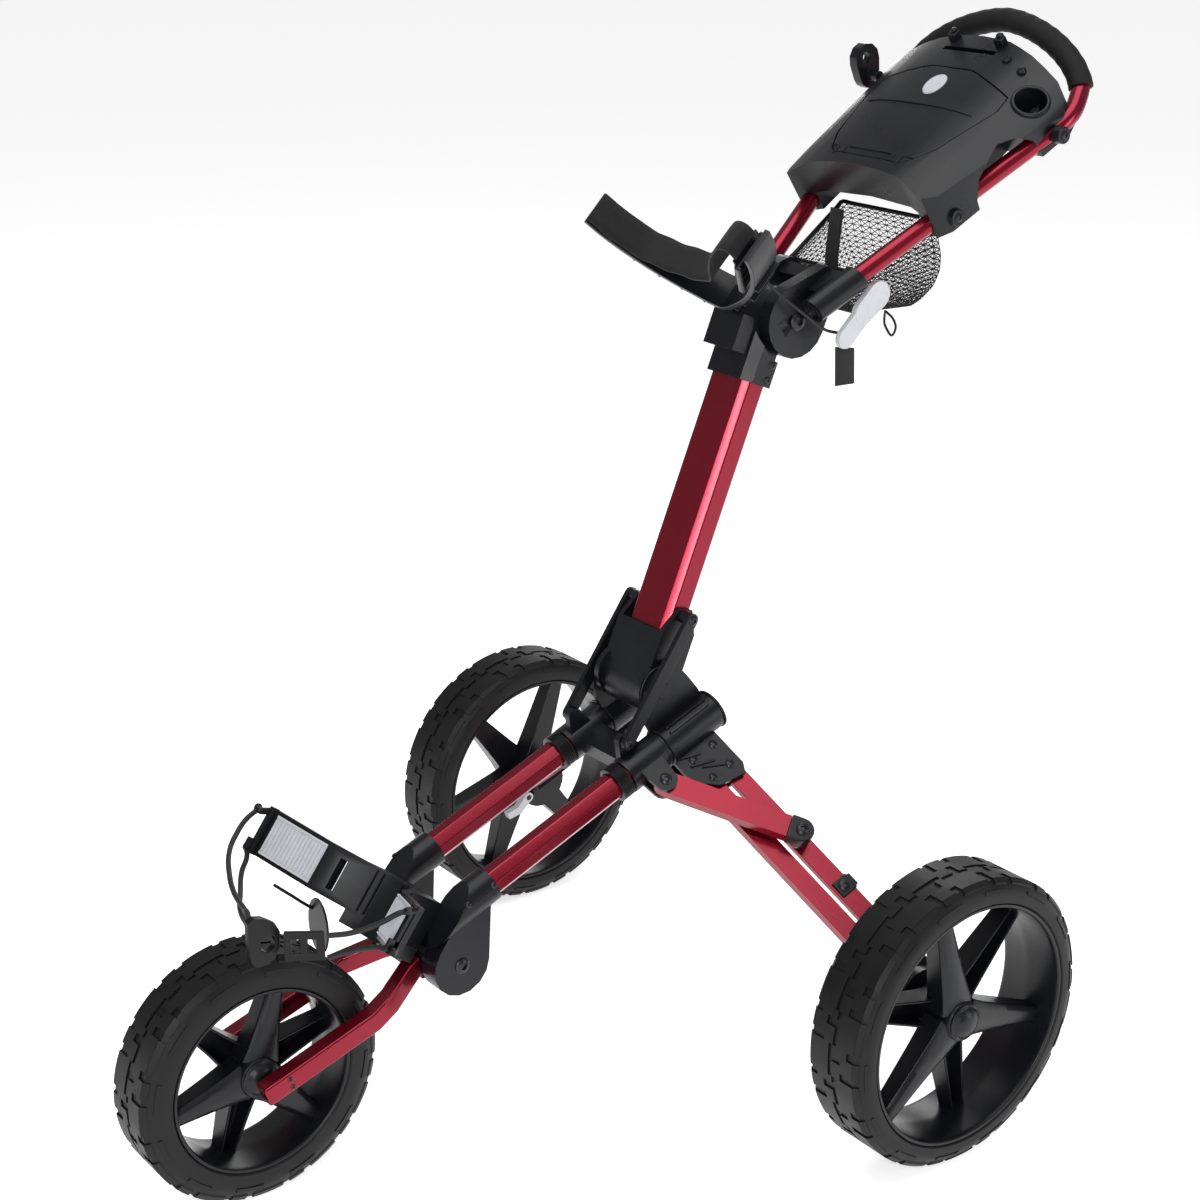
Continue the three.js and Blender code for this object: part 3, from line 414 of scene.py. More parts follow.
def tyre(node, rim_radius, radius, half, middle, blocks, body):
    wall = radius - TREAD_HEIGHT - rim_radius
    shares = ((0, 0.92), (0.05, 0.965), (0.14, 0.985), (0.28, 0.985), (0.40, 0.975), (0.52, 0.955),
              (0.66, 0.92), (0.82, 0.85), (1.0, 0.72), (1.0, 0.50), (1.0, 0.30), (1.0, 0.12), (1.0, 0.0))
    one = [(rim_radius + wall * share, half * side - (TREAD_HEIGHT if 0.1 < share < 0.9 else 0) * 0.5)
           for share, side in shares]
    profile = one + [(r, -x) for r, x in reversed(one[:-1])] + [one[0]]
    bm = bmesh.new()
    columns = blocks * 8
    spun(bm, profile, columns)
    rows = {}
    for face in bm.faces:
        centre = face.calc_center_median()
        radial = math.hypot(centre.y, centre.z) * 1000
        across = abs(centre.x) * 1000
        if radial < rim_radius + 0.2:
            continue
        best = min(range(12), key=lambda i: math.hypot((one[i][0] + one[i + 1][0]) / 2 - radial,
                                                       (one[i][1] + one[i + 1][1]) / 2 - across))
        turn = math.atan2(centre.y, centre.z) / (2 * math.pi) * columns
        column = int(math.floor(turn + (4 if centre.x < 0 else 0))) % 8
        if TREAD[best][column] == "#":
            rows.setdefault((best, centre.x > 0), []).append(face)
    for (row, _), faces in rows.items():
        grown = bmesh.ops.extrude_face_region(bm, geom=faces)["geom"]
        verts = [item for item in grown if isinstance(item, bmesh.types.BMVert)]
        lift = (TREAD_HEIGHT if row > 6 else 0.9) / 1000
        for vert in verts:
            if row > 6:
                out = Vector((0, vert.co.y, vert.co.z)).normalized()
                lean = Vector((math.copysign(0.25 if row == 7 else 0, vert.co.x), 0, 0))
                vert.co += (out + lean) * lift
            else:
                vert.co += Vector((math.copysign(lift, vert.co.x), 0, 0))
        bmesh.ops.delete(bm, geom=faces, context="FACES_KEEP_BOUNDARY")
    bmesh.ops.remove_doubles(bm, verts=bm.verts, dist=1e-6)
    bmesh.ops.recalc_face_normals(bm, faces=bm.faces)
    bmesh.ops.translate(bm, verts=bm.verts, vec=middle)
    for face in bm.faces:
        face.smooth = True
    for edge in bm.edges:
        edge.smooth = len(edge.link_faces) == 2 and edge.calc_face_angle(0) < math.radians(28)
    piece = keep(bm, node + "_tread")
    piece.data.materials.append(rubber.material)
    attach(piece, body)
    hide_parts(node)


def blade(bm, turn, root, tip, inner, outer, widths, hollow):
    """One blade of a rim from the hub to the barrel, lying between two x planes, in millimetres."""
    sections = []
    for step in range(7):
        share = step / 6
        reach = root + (tip - root) * share
        half = widths[0] + (widths[1] - widths[0]) * share ** 0.7
        crest = outer - 5 * share
        base = inner + 3 * share
        if hollow:
            shape = [(-half, base), (-half, crest), (-half + 2.6, crest), (-half + 2.6, base + 3),
                     (half - 2.6, base + 3), (half - 2.6, crest), (half, crest), (half, base)]
        else:
            shape = [(-half, base), (-half, crest - 4), (-half * 0.55, crest), (-1, crest + 0.6),
                     (1, crest + 0.6), (half * 0.55, crest), (half, crest - 4), (half, base)]
        sections.append([bm.verts.new((x / 1000, y / 1000, reach / 1000)) for y, x in shape])
    made = [v for ring in sections for v in ring]
    for ring, following in zip(sections, sections[1:]):
        for i in range(8):
            bm.faces.new((ring[i], ring[i - 1], following[i - 1], following[i]))
    bm.faces.new(sections[0])
    bm.faces.new(sections[-1][::-1])
    bmesh.ops.rotate(bm, verts=made, cent=(0, 0, 0), matrix=Matrix.Rotation(math.radians(turn), 3, "X"))


def rim(node, radius, half, middle, body, first, facing, cap_node):
    bm = bmesh.new()
    lip = radius - 0.3
    edge = half * 0.92
    spun(bm, [(lip, -edge), (lip, edge), (lip - 1.5, edge + 0.9), (lip - 4, edge), (lip - 5, edge - 5),
              (lip - 8, 4), (lip - 8, -4), (lip - 5, -edge + 5), (lip - 4, -edge), (lip - 1.5, -edge - 0.9),
              (lip, -edge)], 96)
    spun(bm, [(6.4, -26), (17, -26), (19.5, -23), (20, -8), (22, 6), (21, 20), (19, 25), (12, 26),
              (6.4, 26), (6.4, -26)], 48)
    for i in range(3):
        blade(bm, first + i * 120, 13, lip - 4, -4, 23, (20, 8.5), False)
        blade(bm, first + 60 + i * 120, 13, lip - 4, -20, 7, (17, 8), True)
    if facing < 0:
        bmesh.ops.scale(bm, vec=(-1, 1, 1), verts=bm.verts)
    bmesh.ops.recalc_face_normals(bm, faces=bm.faces)
    bmesh.ops.translate(bm, verts=bm.verts, vec=middle)
    soften(bm, 0.0009, 1)
    piece = keep(bm, node + "_moulding")
    even_shading(piece)
    piece.data.materials.append(nylon.material)
    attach(piece, body)
    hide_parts(node)
    bm = bmesh.new()
    spun(bm, [(0.01, 34.6), (6, 34.2), (11, 32.6), (14.5, 30), (16, 28), (19, 27.2), (19, 26.3),
              (0.01, 26.3)], 40)
    for i in range(3):
        lobe = Matrix.Rotation(math.radians(first + 120 * i), 4, "X")
        lobe = lobe @ Matrix.Translation((0.0275, 0, 0.0125)) @ ON_SIDE
        bmesh.ops.create_cone(bm, cap_ends=True, segments=14, radius1=0.0058, radius2=0.005, depth=0.0022,
                              matrix=lobe)
    if facing < 0:
        bmesh.ops.scale(bm, vec=(-1, 1, 1), verts=bm.verts)
    bmesh.ops.recalc_face_normals(bm, faces=bm.faces)
    bmesh.ops.translate(bm, verts=bm.verts, vec=middle)
    soften(bm, 0.0004, 1)
    piece = keep(bm, cap_node + "_dome")
    piece.data.materials.append(nylon.material)
    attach(piece, body)
    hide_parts(cap_node)


for side, name in ((1, "left"), (-1, "right")):
    hub = Vector((side * 0.3465, AXLE_Y / 1000, 0.146))
    tyre(f"rear_tyre_{name}", 122.4, 146, 38, hub, 14, f"rear_wheel_{name}")
    first = 12 if side > 0 else 40
    rim(f"rear_rim_{name}", 122.4, 38, hub, f"rear_wheel_{name}", first, side, f"rear_hub_cap_{name}")
hub = Vector((0, -0.4129, 0.1227))
tyre("front_tyre", 92.1, 122.7, 34.6, hub, 12, "front_wheel")
rim("front_rim", 92.1, 34.6, hub, "front_wheel", -18, 1, "front_hub_cap")

bm = bmesh.new()
spun(bm, [(0.01, -55), (4.9, -55), (4.9, 55), (0.01, 55)], 24)
bmesh.ops.recalc_face_normals(bm, faces=bm.faces)
bmesh.ops.translate(bm, verts=bm.verts, vec=hub)
for edge in bm.edges:
    edge.smooth = edge.calc_face_angle(0) < 1
rod = keep(bm, "front_axle_rod")
rod.data.materials.append(zinc.material)
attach(rod, "fork")
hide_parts("front_axle")

# Screws: black-oxide socket button heads that hold the castings and the pivots. They are headed cold from
# steel wire and sit proud of the mouldings.
oxide = Finish("black_oxide_steel", (0.035, 0.035, 0.04), 0.3, metallic=0.8)
oxide.bump(oxide.noise(1200.0), 0.1, 0.0002)


def screw(name, point, along, radius, body):
    """A button-head screw: point is the middle of the face it sits on and along points out of it."""
    bm = bmesh.new()
    turn = Vector(along).normalized().to_track_quat("X", "Z").to_matrix().to_4x4()
    tall = radius * 0.42
    spun(bm, [(0.001, tall * 0.35), (radius * 0.38, tall * 0.35), (radius * 0.42, tall),
              (radius * 0.75, tall * 0.86), (radius, tall * 0.3), (radius, -0.2), (0.001, -0.2)], 18)
    bmesh.ops.recalc_face_normals(bm, faces=bm.faces)
    bmesh.ops.transform(bm, matrix=Matrix.Translation(point) @ turn, verts=bm.verts)
    for face in bm.faces:
        face.smooth = True
    for edge in bm.edges:
        edge.smooth = len(edge.link_faces) == 2 and edge.calc_face_angle(0) < math.radians(35)
    piece = keep(bm, name)
    piece.data.materials.append(oxide.material)
    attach(piece, body)


LOWER = tilt(-100, 345, 22)
MAST = tilt(-101, 399, -23.1)
HANDLE = tilt(68, 745, 33.5)
CRADLE_TOP = tilt(22, 765, 45)


def leg_frame(side):
    root = Matrix.Translation((side * 0.048, 0.0162, 0))
    return LOWER @ root @ Matrix.Rotation(math.radians(side * 37.4), 4, "Y")


def at(matrix, x, y, z):
    return matrix @ Vector((x / 1000, y / 1000, z / 1000))


for side, name in ((1, "left"), (-1, "right")):
    leg = leg_frame(side)
    up = leg.to_3x3() @ Vector((0, 0, 1))
    for i, (a, b, radius) in enumerate(((29, -7, 4.6), (29, 20, 4.6), (55, 19, 4.6), (55, -4, 4.0))):
        screw(f"bracket_screw_{name}_{i}", at(leg, side * a, b, -2.6), up, radius, "frame")
    screw(f"strut_screw_{name}_foot", at(leg, side * 31, -50, 15.6), up, 6, "slider")
    screw(f"strut_screw_{name}_head", at(leg, side * 154, 20, 14), up, 6.5, f"strut_{name}")
    screw(f"rail_screw_{name}", at(leg, side * 219, 20, -10.2), up, 5, f"upper_rail_{name}")
    outward = Vector((side, 0, 0))
    screw(f"disc_screw_{name}", at(LOWER, side * 61, -297.1, -49.3), outward, 8, "frame")
    screw(f"rod_screw_{name}", at(LOWER, side * 51, -41.5, 31), outward, 5, f"link_rod_{name}")
    screw(f"ear_screw_{name}", at(MAST, side * 51, 0, 75.9), outward, 5, f"link_rod_{name}")
    screw(f"hinge_screw_{name}", at(HANDLE, side * 36, 0, 0), outward, 9, "handle")
    for i, up_by in enumerate((-4.5, 4.5)):
        height = FORK_Z - 60.5 + 0.95 * up_by
        spot = Vector((side * 56, -185 + FORK_Y + AXLE_Y - 0.3 * up_by, height)) / 1000
        screw(f"arm_screw_{name}_{i}", spot, outward, 2.6, "fork")
    for i, (y, z) in enumerate(((8, 321), (8, 336))):
        screw(f"head_screw_{name}_{i}", at(MAST, side * 34, y, z), outward, 4, "mast")

# Upper bag strap: black polypropylene webbing, threaded through a ladder buckle, with its selvedges and
# ribs showing. It lies in a loose loop on the upper cradle.
webbing = Finish("black_webbing", (0.005, 0.005, 0.006), 0.8, specular=0.25, sheen=0.08)
woven = webbing.node("ShaderNodeTexBrick", {"offset": 0.5}, {
    "Vector": webbing.place("UV"), "Scale": 120.0,
    "Mortar Size": 0.02, "Brick Width": 0.5, "Row Height": 0.22,
    "Color1": (0.9, 0.9, 0.9, 1), "Color2": (0.55, 0.55, 0.55, 1), "Mortar": (0, 0, 0, 1)})
webbing.set({"Base Color": webbing.blend(woven, (0.0015, 0.0015, 0.002), (0.012, 0.012, 0.013))})
webbing.bump(woven, 0.7, 0.0006)


def even_path(points, count):
    """Points of equal spacing on a smooth line through the given ones."""
    dense = []
    for i in range(len(points) - 1):
        ends = [points[max(i - 1, 0)], points[i], points[i + 1], points[min(i + 2, len(points) - 1)]]
        p0, p1, p2, p3 = (Vector(p) for p in ends)
        for step in range(12):
            t = step / 12
            dense.append(0.5 * ((2 * p1) + (p2 - p0) * t + (2 * p0 - 5 * p1 + 4 * p2 - p3) * t * t
                                + (3 * p1 - p0 - 3 * p2 + p3) * t ** 3))
    dense.append(Vector(points[-1]))
    run = [0.0]
    for one, two in zip(dense, dense[1:]):
        run.append(run[-1] + (two - one).length)
    result = []
    for k in range(count):
        goal = run[-1] * k / (count - 1)
        j = max(1, next((n for n, r in enumerate(run) if r >= goal - 1e-9), len(run) - 1))
        span = run[j] - run[j - 1] or 1
        result.append(dense[j - 1].lerp(dense[j], (goal - run[j - 1]) / span))
    return result, run[-1]


def ribbon(name, path, half, thick, finish, body, across, count, edge_waves=0.0):
    """A strip of webbing along the path, in metres. across is its width direction."""
    line, length = even_path(path, count)
    bm = bmesh.new()
    uv = bm.loops.layers.uv.new("UVMap")
    bmesh.ops.create_grid(bm, x_segments=count - 1, y_segments=4, size=1)
    place = {}
    for vert in bm.verts:
        k = round((vert.co.x + 1) / 2 * (count - 1))
        place[vert] = (k, vert.co.y)
    for face in bm.faces:
        for loop in face.loops:
            k, w = place[loop.vert]
            loop[uv].uv = (length * k / (count - 1) * 10, w * half * 10)
    for vert, (k, w) in place.items():
        ripple = edge_waves * math.sin(k * 0.55) * w * w
        vert.co = line[k] + across * (w * half) + Vector((0, 0, ripple))
    made = keep(bm, name)
    solid = made.modifiers.new("cloth_thickness", "SOLIDIFY")
    solid.thickness = thick
    solid.offset = 0
    made.data.materials.append(finish.material)
    for face in made.data.polygons:
        face.use_smooth = True
    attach(made, body)
    return made, length


STRAP_LINE = [(-117, 121), (-103, 93), (-80, 69), (-42, 57), (0, 54), (22, 61), (37, 82),
              (60, 106), (82, 122), (98, 124), (100, 112), (88, 97), (76, 81), (64, 66)]
across = CRADLE_TOP.to_3x3() @ Vector((0, 1, 0))
line = [at(CRADLE_TOP, x, 0, z) for x, z in STRAP_LINE]
strap, strap_length = ribbon("bag_strap", line, 0.016, 0.0022, webbing, "mast", across, 110,
                             0.0006)
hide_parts("cradle_strap")

# Handle bar: one aluminium tube bent into a loop, anodised like the frame, with a moulded foam grip slid
# over its top. The grip has faint ridges round it, and nylon plugs close the sleeves at the bar's feet.
bar_side = [(45.4 + 0.2603 * t, t, 5.9) for t in (28, 62, 110, 158, 206, 254, 296)]
bar_side += [(127.6, 318, 6.2), (127, 336, 7.2)]
GRIP_LEAN = math.radians(41.8)
arc = []
for i in range(37):
    angle = math.pi * (i * 0.5 + 1.2) / 20.4
    along = 118.9 * math.copysign(abs(math.cos(angle)) ** 1.2, math.cos(angle))
    reach = 66 * math.sin(angle) ** 1.2
    arc.append((along, 356.7 + reach * math.cos(GRIP_LEAN), 5.9 + reach * math.sin(GRIP_LEAN)))
whole = bar_side + arc + [(-x, t, h) for x, t, h in reversed(bar_side)]


def swept(name, line, radius_at, sides, finish, body):
    """A round section carried along the line; radius_at gives its radius at each share of the way."""
    bm = bmesh.new()
    loops = []
    last = len(line) - 1
    for i, here in enumerate(line):
        along = (line[min(i + 1, last)] - line[max(i - 1, 0)]).normalized()
        turn = along.to_track_quat("Z", "X").to_matrix().to_4x4()
        made = bmesh.ops.create_circle(bm, segments=sides, radius=radius_at(i / last),
                                       matrix=Matrix.Translation(here) @ turn)
        loops.append(list({edge for vert in made["verts"] for edge in vert.link_edges}))
    for one, two in zip(loops, loops[1:]):
        bmesh.ops.bridge_loops(bm, edges=one + two)
    bmesh.ops.holes_fill(bm, edges=[e for e in bm.edges if e.is_boundary])
    bmesh.ops.recalc_face_normals(bm, faces=bm.faces)
    for face in bm.faces:
        face.smooth = len(face.verts) < 5
    piece = keep(bm, name)
    piece.data.materials.append(finish.material)
    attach(piece, body)
    return piece


bm = bmesh.new()
for side in (1, -1):
    place = HANDLE @ Matrix.Translation((side * 0.0505, 0.0195, 0.0059))
    place = place @ Matrix.Rotation(math.radians(-14.6 * side), 4, "Z")
    bmesh.ops.create_cone(bm, cap_ends=True, segments=24, radius1=0.0098, radius2=0.0098, depth=0.012,
                          matrix=place @ Matrix.Rotation(math.radians(90), 4, "X"))
plugs = keep(bm, "sleeve_plugs")
plugs.data.materials.append(nylon.material)
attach(plugs, "handle")

bar_line, _ = even_path([at(HANDLE, *p) for p in whole], 150)
bar = swept("handle_bar", bar_line, lambda share: 0.0095, 20, anodised, "handle")
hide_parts("handle_tube")

foam = Finish("grip_foam", (0.005, 0.005, 0.006), 0.75, specular=0.3)
cells = foam.node("ShaderNodeTexVoronoi", {}, {"Vector": foam.place(), "Scale": 900.0})
foam.set({"Base Color": foam.blend(cells, (0.003, 0.003, 0.0035), (0.010, 0.010, 0.011))})
foam.bump(cells, 0.5, 0.0005)
grip_line, _ = even_path([at(HANDLE, *p) for p in arc], 130)


def grip_radius(share):
    swell = 0.0124 - 0.0004 * (0.5 + 0.5 * math.cos(share * math.pi * 2 * 17))
    return swell if 0.015 < share < 0.985 else 0.0125


grip = swept("grip_sleeve", grip_line, grip_radius, 24, foam, "handle")
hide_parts("handle_grip")

# Console: a moulded nylon shell clamped round the handle bar, with a hinged lid over its pocket. Bosses
# with screws in them stand on its two sides.
moulded("console_shell", nylon, "handle", 0.0042)
moulded("console_lid", nylon, "console_lid", 0.0009)
for side in (1, -1):
    for i, (t, out) in enumerate(((168, 106.6), (300, 137))):
        centre = at(HANDLE, side * out, t, 5.9)
        name = f"console_knob_{'left' if side > 0 else 'right'}_{i}"
        screw(name, centre + Vector((side * 0.0065, 0, 0)), (side, 0, 0), 4.5, "handle")
        bm = bmesh.new()
        outward = Matrix.Rotation(math.radians(90 * side), 4, "Y")
        bmesh.ops.create_cone(bm, cap_ends=True, segments=28, radius1=0.0092, radius2=0.0085, depth=0.011,
                              matrix=Matrix.Translation(centre + Vector((side * 0.001, 0, 0))) @ outward)
        soften(bm, 0.0012, 2)
        knob = keep(bm, name + "_boss")
        even_shading(knob)
        knob.data.materials.append(nylon.material)
        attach(knob, "handle")

# The console's small parts: lid joint and finger tab, a blank oval badge, two tee pegs, two lugs at the
# rear edge and the rim of the round socket. All are moulded or pressed in.


def lump(bm, matrix, size, turn=None):
    """A block of the given size in millimetres, set in a matrix's frame at turn."""
    place = matrix @ (turn or Matrix.Identity(4)) @ Matrix.Diagonal((*(v / 1000 for v in size), 1))
    return bmesh.ops.create_cube(bm, size=1, matrix=place)["verts"]


def crown(x):
    """The height of the console's curved top at x, in its own frame."""
    return 58 - 23 * (abs(x) / 113) ** 3


def shifted(x, y, z):
    return Matrix.Translation((x / 1000, y / 1000, z / 1000))


def finish_off(bm, name, finish, body, width=0.0005, segments=2):
    bmesh.ops.recalc_face_normals(bm, faces=bm.faces)
    soften(bm, width, segments)
    piece = keep(bm, name)
    even_shading(piece)
    piece.data.materials.append(finish.material)
    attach(piece, body)
    return piece


bm = bmesh.new()
steps = 18
for i in range(steps):
    x = -73 + 146 * (i + 0.5) / steps
    slope = math.atan2(crown(x + 4) - crown(x - 4), 8)
    turn = shifted(x, 260, crown(x) + 0.1) @ Matrix.Rotation(-slope, 4, "Y")
    lump(bm, HANDLE, (146 / steps * 1.06, 1.6, 1.2), turn)
for x, t, wide, deep in ((-45, 180, 1.2, 12), (45, 180, 1.2, 12), (-52, 187, 14, 1.2), (52, 187, 14, 1.2),
                         (0, 186, 60, 1.2), (-34, 182, 1.2, 9), (34, 182, 1.2, 9)):
    lump(bm, HANDLE, (wide, deep, 1.0), shifted(x, t, crown(x) + 0.05))
finish_off(bm, "lid_ribs", nylon, "console_lid", 0.0003, 1)

bm = bmesh.new()
for x, t in ((55, 341), (79, 333)):
    bmesh.ops.create_cone(bm, cap_ends=True, segments=20, radius1=0.0052, radius2=0.0046, depth=0.005,
                          matrix=HANDLE @ shifted(x, t, crown(x) + 1))
    bmesh.ops.create_cone(bm, cap_ends=True, segments=14, radius1=0.002, radius2=0.0016, depth=0.003,
                          matrix=HANDLE @ shifted(x, t, crown(x) + 4))
for x in (-32, 32):
    lump(bm, HANDLE, (11, 9, 12), shifted(x, 361, crown(x) + 2))
    lump(bm, HANDLE, (7, 6, 6), shifted(x, 363, crown(x) + 8))
finish_off(bm, "console_pegs", nylon, "handle", 0.0014, 2)

bm = bmesh.new()
spun(bm, [(15.6, -1), (15.6, 1.6), (17.5, 2.2), (19.5, 1.2), (20, -1.5), (15.6, -1)], 40)
slope = math.atan2(crown(112) - crown(104), 8)
lean = shifted(108, 306, crown(108) + 0.3) @ Matrix.Rotation(-slope, 4, "Y")
lean = lean @ Matrix.Rotation(math.radians(-90), 4, "Y")
bmesh.ops.transform(bm, matrix=HANDLE @ lean, verts=bm.verts)
finish_off(bm, "socket_rim", nylon, "handle", 0.0005, 1)
bm = bmesh.new()
for turn in (0, 90):
    lump(bm, HANDLE, (24, 3.4, 7), shifted(108, 306, 22) @ Matrix.Rotation(math.radians(turn + 20), 4, "Z"))
bmesh.ops.create_cone(bm, cap_ends=True, segments=20, radius1=0.006, radius2=0.005, depth=0.009,
                      matrix=HANDLE @ shifted(108, 306, 23))
finish_off(bm, "socket_insert", nylon, "handle", 0.0008, 2)

bm = bmesh.new()
oval = HANDLE @ shifted(0, 290, crown(0) + 0.6) @ Matrix.Diagonal((0.024, 0.031, 0.0016, 1))
bmesh.ops.create_cone(bm, cap_ends=True, segments=36, radius1=0.5, radius2=0.46, depth=1, matrix=oval)
finish_off(bm, "blank_badge", pale, "console_lid", 0.0004, 2)

# Details of the folding joints: raised rings on the mast foot's discs, collars on the bracket barrels,
# ribs across the castings, gussets beside them and the bellows that keep grit off the tubes.
for side, name in ((1, "left"), (-1, "right")):
    bm = bmesh.new()
    spun(bm, [(19, 36.2), (19, 37.6), (20.4, 38.2), (24, 38.2), (25, 37.4), (25, 36.2), (19, 36.2)], 48)
    if side < 0:
        bmesh.ops.scale(bm, vec=(-1, 1, 1), verts=bm.verts)
    bmesh.ops.transform(bm, matrix=MAST, verts=bm.verts)
    finish_off(bm, f"foot_ring_{name}", nylon, "mast", 0.0003, 1)

    bm = bmesh.new()
    lengthwise = Matrix.Rotation(math.radians(90), 4, "Z")
    for s in (-7.5, 61):
        made = spun(bm, [(19.6, -1.4), (21.4, -1.0), (21.4, 1.0), (19.6, 1.4), (19.0, 0), (19.6, -1.4)], 40)
        verts = list({v for f in made for v in f.verts})
        bmesh.ops.transform(bm, matrix=LOWER @ shifted(side * 48, s, 0) @ lengthwise, verts=verts)
    for angle in (16, 34):
        turn = Matrix.Rotation(math.radians(angle * side), 4, "Y")
        lump(bm, LOWER, (2.4, 52, 3.4), shifted(side * 48, 27, 0) @ turn @ shifted(0, 0, 20.5))
    sleeve = spun(bm, [(14.6, -3), (19.2, -2.4), (19.2, 2.4), (14.6, 3), (14.2, 0), (14.6, -3)], 40)
    verts = list({v for f in sleeve for v in f.verts})
    bmesh.ops.transform(bm, matrix=LOWER @ shifted(side * 48, -9.8, 0) @ lengthwise, verts=verts)
    finish_off(bm, f"barrel_ribs_{name}", nylon, "frame", 0.0004, 1)

    bm = bmesh.new()
    for k in range(7):
        made = spun(bm, [(14.6, -1.3), (18.6, -0.5), (18.6, 0.5), (14.6, 1.3), (14.2, 0), (14.6, -1.3)], 32)
        verts = list({v for f in made for v in f.verts})
        place = LOWER @ shifted(side * 48, -61 - 1.95 * k, 0) @ lengthwise
        bmesh.ops.transform(bm, matrix=place, verts=verts)
    finish_off(bm, f"bellows_{name}", nylon, "slider", 0.0003, 1)

    bm = bmesh.new()
    slot_frame = LOWER @ shifted(side * 48, -252, 0) @ Matrix.Rotation(math.radians(65 * side), 4, "Y")
    lump(bm, slot_frame, (7, 36, 1.4), shifted(0, 0, 18.2))
    lump(bm, slot_frame, (3.2, 24, 1.4), shifted(0, 0, 19.2))
    finish_off(bm, f"sleeve_slot_{name}", nylon, "frame", 0.0006, 2)
    out = slot_frame.to_3x3() @ Vector((0, 0, 1))
    for i, y in enumerate((-15.5, 15.5)):
        screw(f"sleeve_screw_{name}_{i}", at(slot_frame, 0, y, 19), out, 3, "frame")

    leg = leg_frame(side)
    bm = bmesh.new()
    lump(bm, leg, (18, 18.5, 2.4), shifted(side * 219, 22, -9.2))
    lump(bm, leg, (14, 6, 5), shifted(side * 219, 31.5, -11))
    finish_off(bm, f"rail_clip_{name}", nylon, f"upper_rail_{name}", 0.0011, 2)
    up = leg.to_3x3() @ Vector((0, 0, 1))
    screw(f"clip_screw_{name}", at(leg, side * 219, 21, -8), up, 6, f"upper_rail_{name}")
    bm = bmesh.new()
    for a, b, turn in ((24, 6, 68), (38, 12, 68), (47, 20, 60)):
        heading = Matrix.Rotation(math.radians(turn * side), 4, "Z")
        lump(bm, leg, (26, 2.2, 2.2), shifted(side * a, b - 14, -1.8) @ heading)
    finish_off(bm, f"bracket_gussets_{name}", nylon, "frame", 0.0005, 1)

# Lower cradle's details, moulded with it in black nylon: paired ribs in the middle, blocks and turned-up
# lips at the tips. A stiff rubber-coated wire keeps the tag clear.
bm = bmesh.new()
for x in (-26, -21, -3, 3, 21, 26):
    high = 0.6 * abs(x) - 14 if abs(x) < 20 else (abs(x) - 20) * 44 / 42 - 2
    lump(bm, LOWER_CRADLE, (1.8, 44, 2.0), shifted(x, 5, high + 0.8))
for side in (1, -1):
    lump(bm, LOWER_CRADLE, (5, 50, 9), shifted(side * 126.5, 4.5, 73))
    lump(bm, LOWER_CRADLE, (3, 12, 12), shifted(side * 127.5, -12, 78))
    for k in range(4):
        turn = shifted(side * 116, -8 + 8.5 * k, 63) @ Matrix.Rotation(-0.436 * side, 4, "Y")
        lump(bm, LOWER_CRADLE, (12, 3, 6), turn)
finish_off(bm, "cradle_ribs", nylon, "frame", 0.0006, 2)
tag_line = route([(-60, -487, 264), (-60, -470, 248), (-60, -452, 231), (-60, -441, 222)])
curved("tag_wire", tag_line, 0.0016, soft_rubber, "frame")

# Strap buckle: a moulded ladder lock with four bars, side cheeks and a finger tab. The upper cradle's wings
# have ribs across them, moulded in one with it.
bm = bmesh.new()
ladder = CRADLE_TOP @ shifted(88, 0, 84) @ Matrix.Rotation(math.radians(-57), 4, "Y")
for y in (-20, 20):
    lump(bm, ladder, (50, 4, 6), shifted(0, y, 0))
for x in (-23, -9, 6, 22):
    lump(bm, ladder, (5, 42, 4), shifted(x, 0, 1.5))
lump(bm, ladder, (9, 38, 2.5), shifted(27, 0, 4) @ Matrix.Rotation(math.radians(-25), 4, "Y"))
buckle = finish_off(bm, "ladder_buckle", nylon, "mast", 0.0011, 2)
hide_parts("strap_buckle")
bm = bmesh.new()
for x, z, turn in ((24, 18, -32), (47, 32, -33), (70, 46, -38), (92, 66, -46), (-24, 18, 32), (-47, 32, 33),
                   (-70, 46, 38), (-92, 66, 46)):
    lump(bm, CRADLE_TOP, (2.4, 35, 6), shifted(x, 0, z - 2) @ Matrix.Rotation(math.radians(turn), 4, "Y"))
finish_off(bm, "wing_ribs", nylon, "mast", 0.0007, 2)

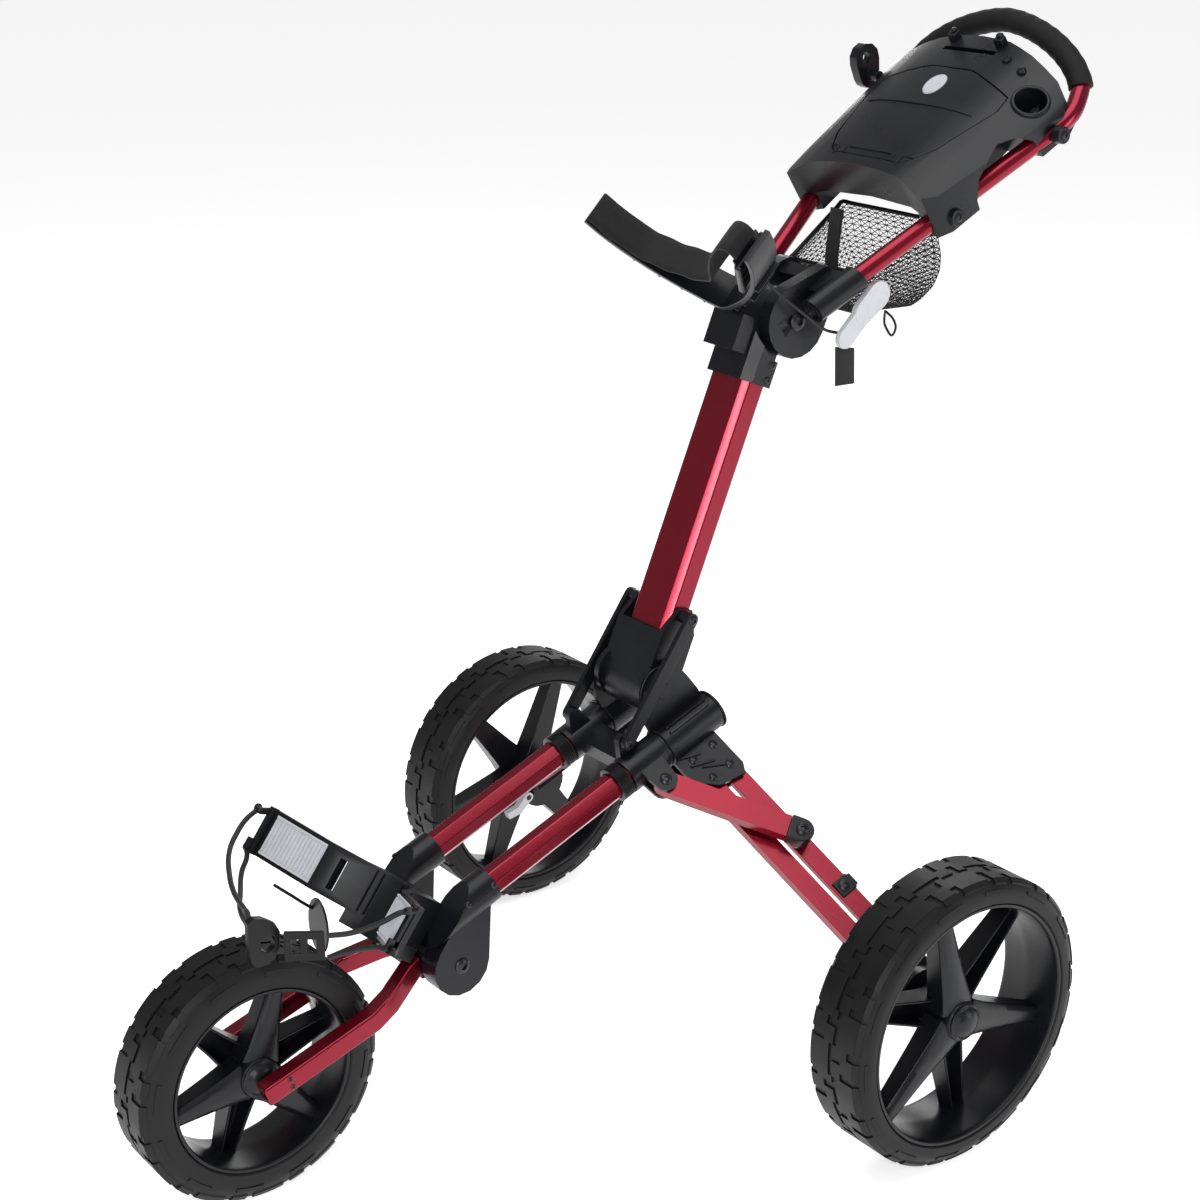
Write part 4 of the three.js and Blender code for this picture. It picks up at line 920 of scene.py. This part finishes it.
# Net bag: knotted black polyester net with a corded hem, a webbing pull strip and a small ring below. It
# hangs between the handle tubes under the console.
netting = Finish("net_yarn", (0.004, 0.004, 0.005), 0.7, specular=0.3)
netting.bump(netting.noise(1800.0), 0.3, 0.0003)
LEVELS = [(50, 68, 134, 220, 786, 832), (49, 70, 132, 224, 780, 816), (46, 70, 133, 230, 771, 796),
          (40, 66, 137, 233, 761, 779), (32, 56, 144, 235, 750, 762), (22, 40, 152, 234, 741, 746),
          (12, 20, 166, 232, 735, 732)]


def net_ring(front, back, y_front, y_back, z_front, z_back):
    corners = [(front, y_front, z_front), (-front, y_front, z_front), (-back, y_back, z_back),
               (back, y_back, z_back)]
    ring = []
    for k in range(4):
        one, two = Vector(corners[k]), Vector(corners[(k + 1) % 4])
        ring += [one.lerp(two, i / 11) for i in range(11)]
    return ring


bm = bmesh.new()
rings = []
for low, high in zip(LEVELS, LEVELS[1:]):
    for step in range(3):
        level = [a + (b - a) * step / 3 for a, b in zip(low, high)]
        rings.append([bm.verts.new(point) for point in route(net_ring(*level))])
for k, (ring, following) in enumerate(zip(rings, rings[1:])):
    for i in range(len(ring)):
        bm.faces.new((ring[i], ring[i - 1], following[i - 1], following[i]))
bm.faces.new(rings[-1])
bmesh.ops.recalc_face_normals(bm, faces=bm.faces)
bmesh.ops.smooth_vert(bm, verts=[v for v in bm.verts if not v.is_boundary], factor=0.5, use_axis_x=True,
                      use_axis_y=True, use_axis_z=True)
pouch_area = sum(face.calc_area() for face in bm.faces)
bmesh.ops.poke(bm, faces=bm.faces)
net = keep(bm, "net_pouch")
wire = net.modifiers.new("yarn", "WIREFRAME")
wire.thickness = 0.0009
net.data.materials.append(netting.material)
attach(net, "handle")
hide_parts("net_bag")

hem_line, _ = even_path(route(net_ring(*LEVELS[0]) + [(50, 134, 786)]), 120)
hem = swept("net_hem", hem_line, lambda share: 0.0024, 10, soft_rubber, "handle")
pull_line = route([(-8, 157, 840), (-6, 152, 815), (-4, 148, 790), (-2, 150, 765), (0, 158, 744)])
pull, _ = ribbon("net_pull_strip", pull_line, 0.009, 0.0016, webbing, "handle",
                 Vector((1, 0, 0)), 40)
ring_line, _ = even_path(route([(0, 222, 728), (-6, 227, 721), (-8, 230, 711), (0, 232, 701), (8, 230, 711),
                                (6, 227, 721), (0, 222, 728)]), 40)
cord_ring = swept("net_ring_loop", ring_line, lambda share: 0.0013, 10, soft_rubber, "handle")
for piece in (net, hem, pull, cord_ring):
    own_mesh(piece)
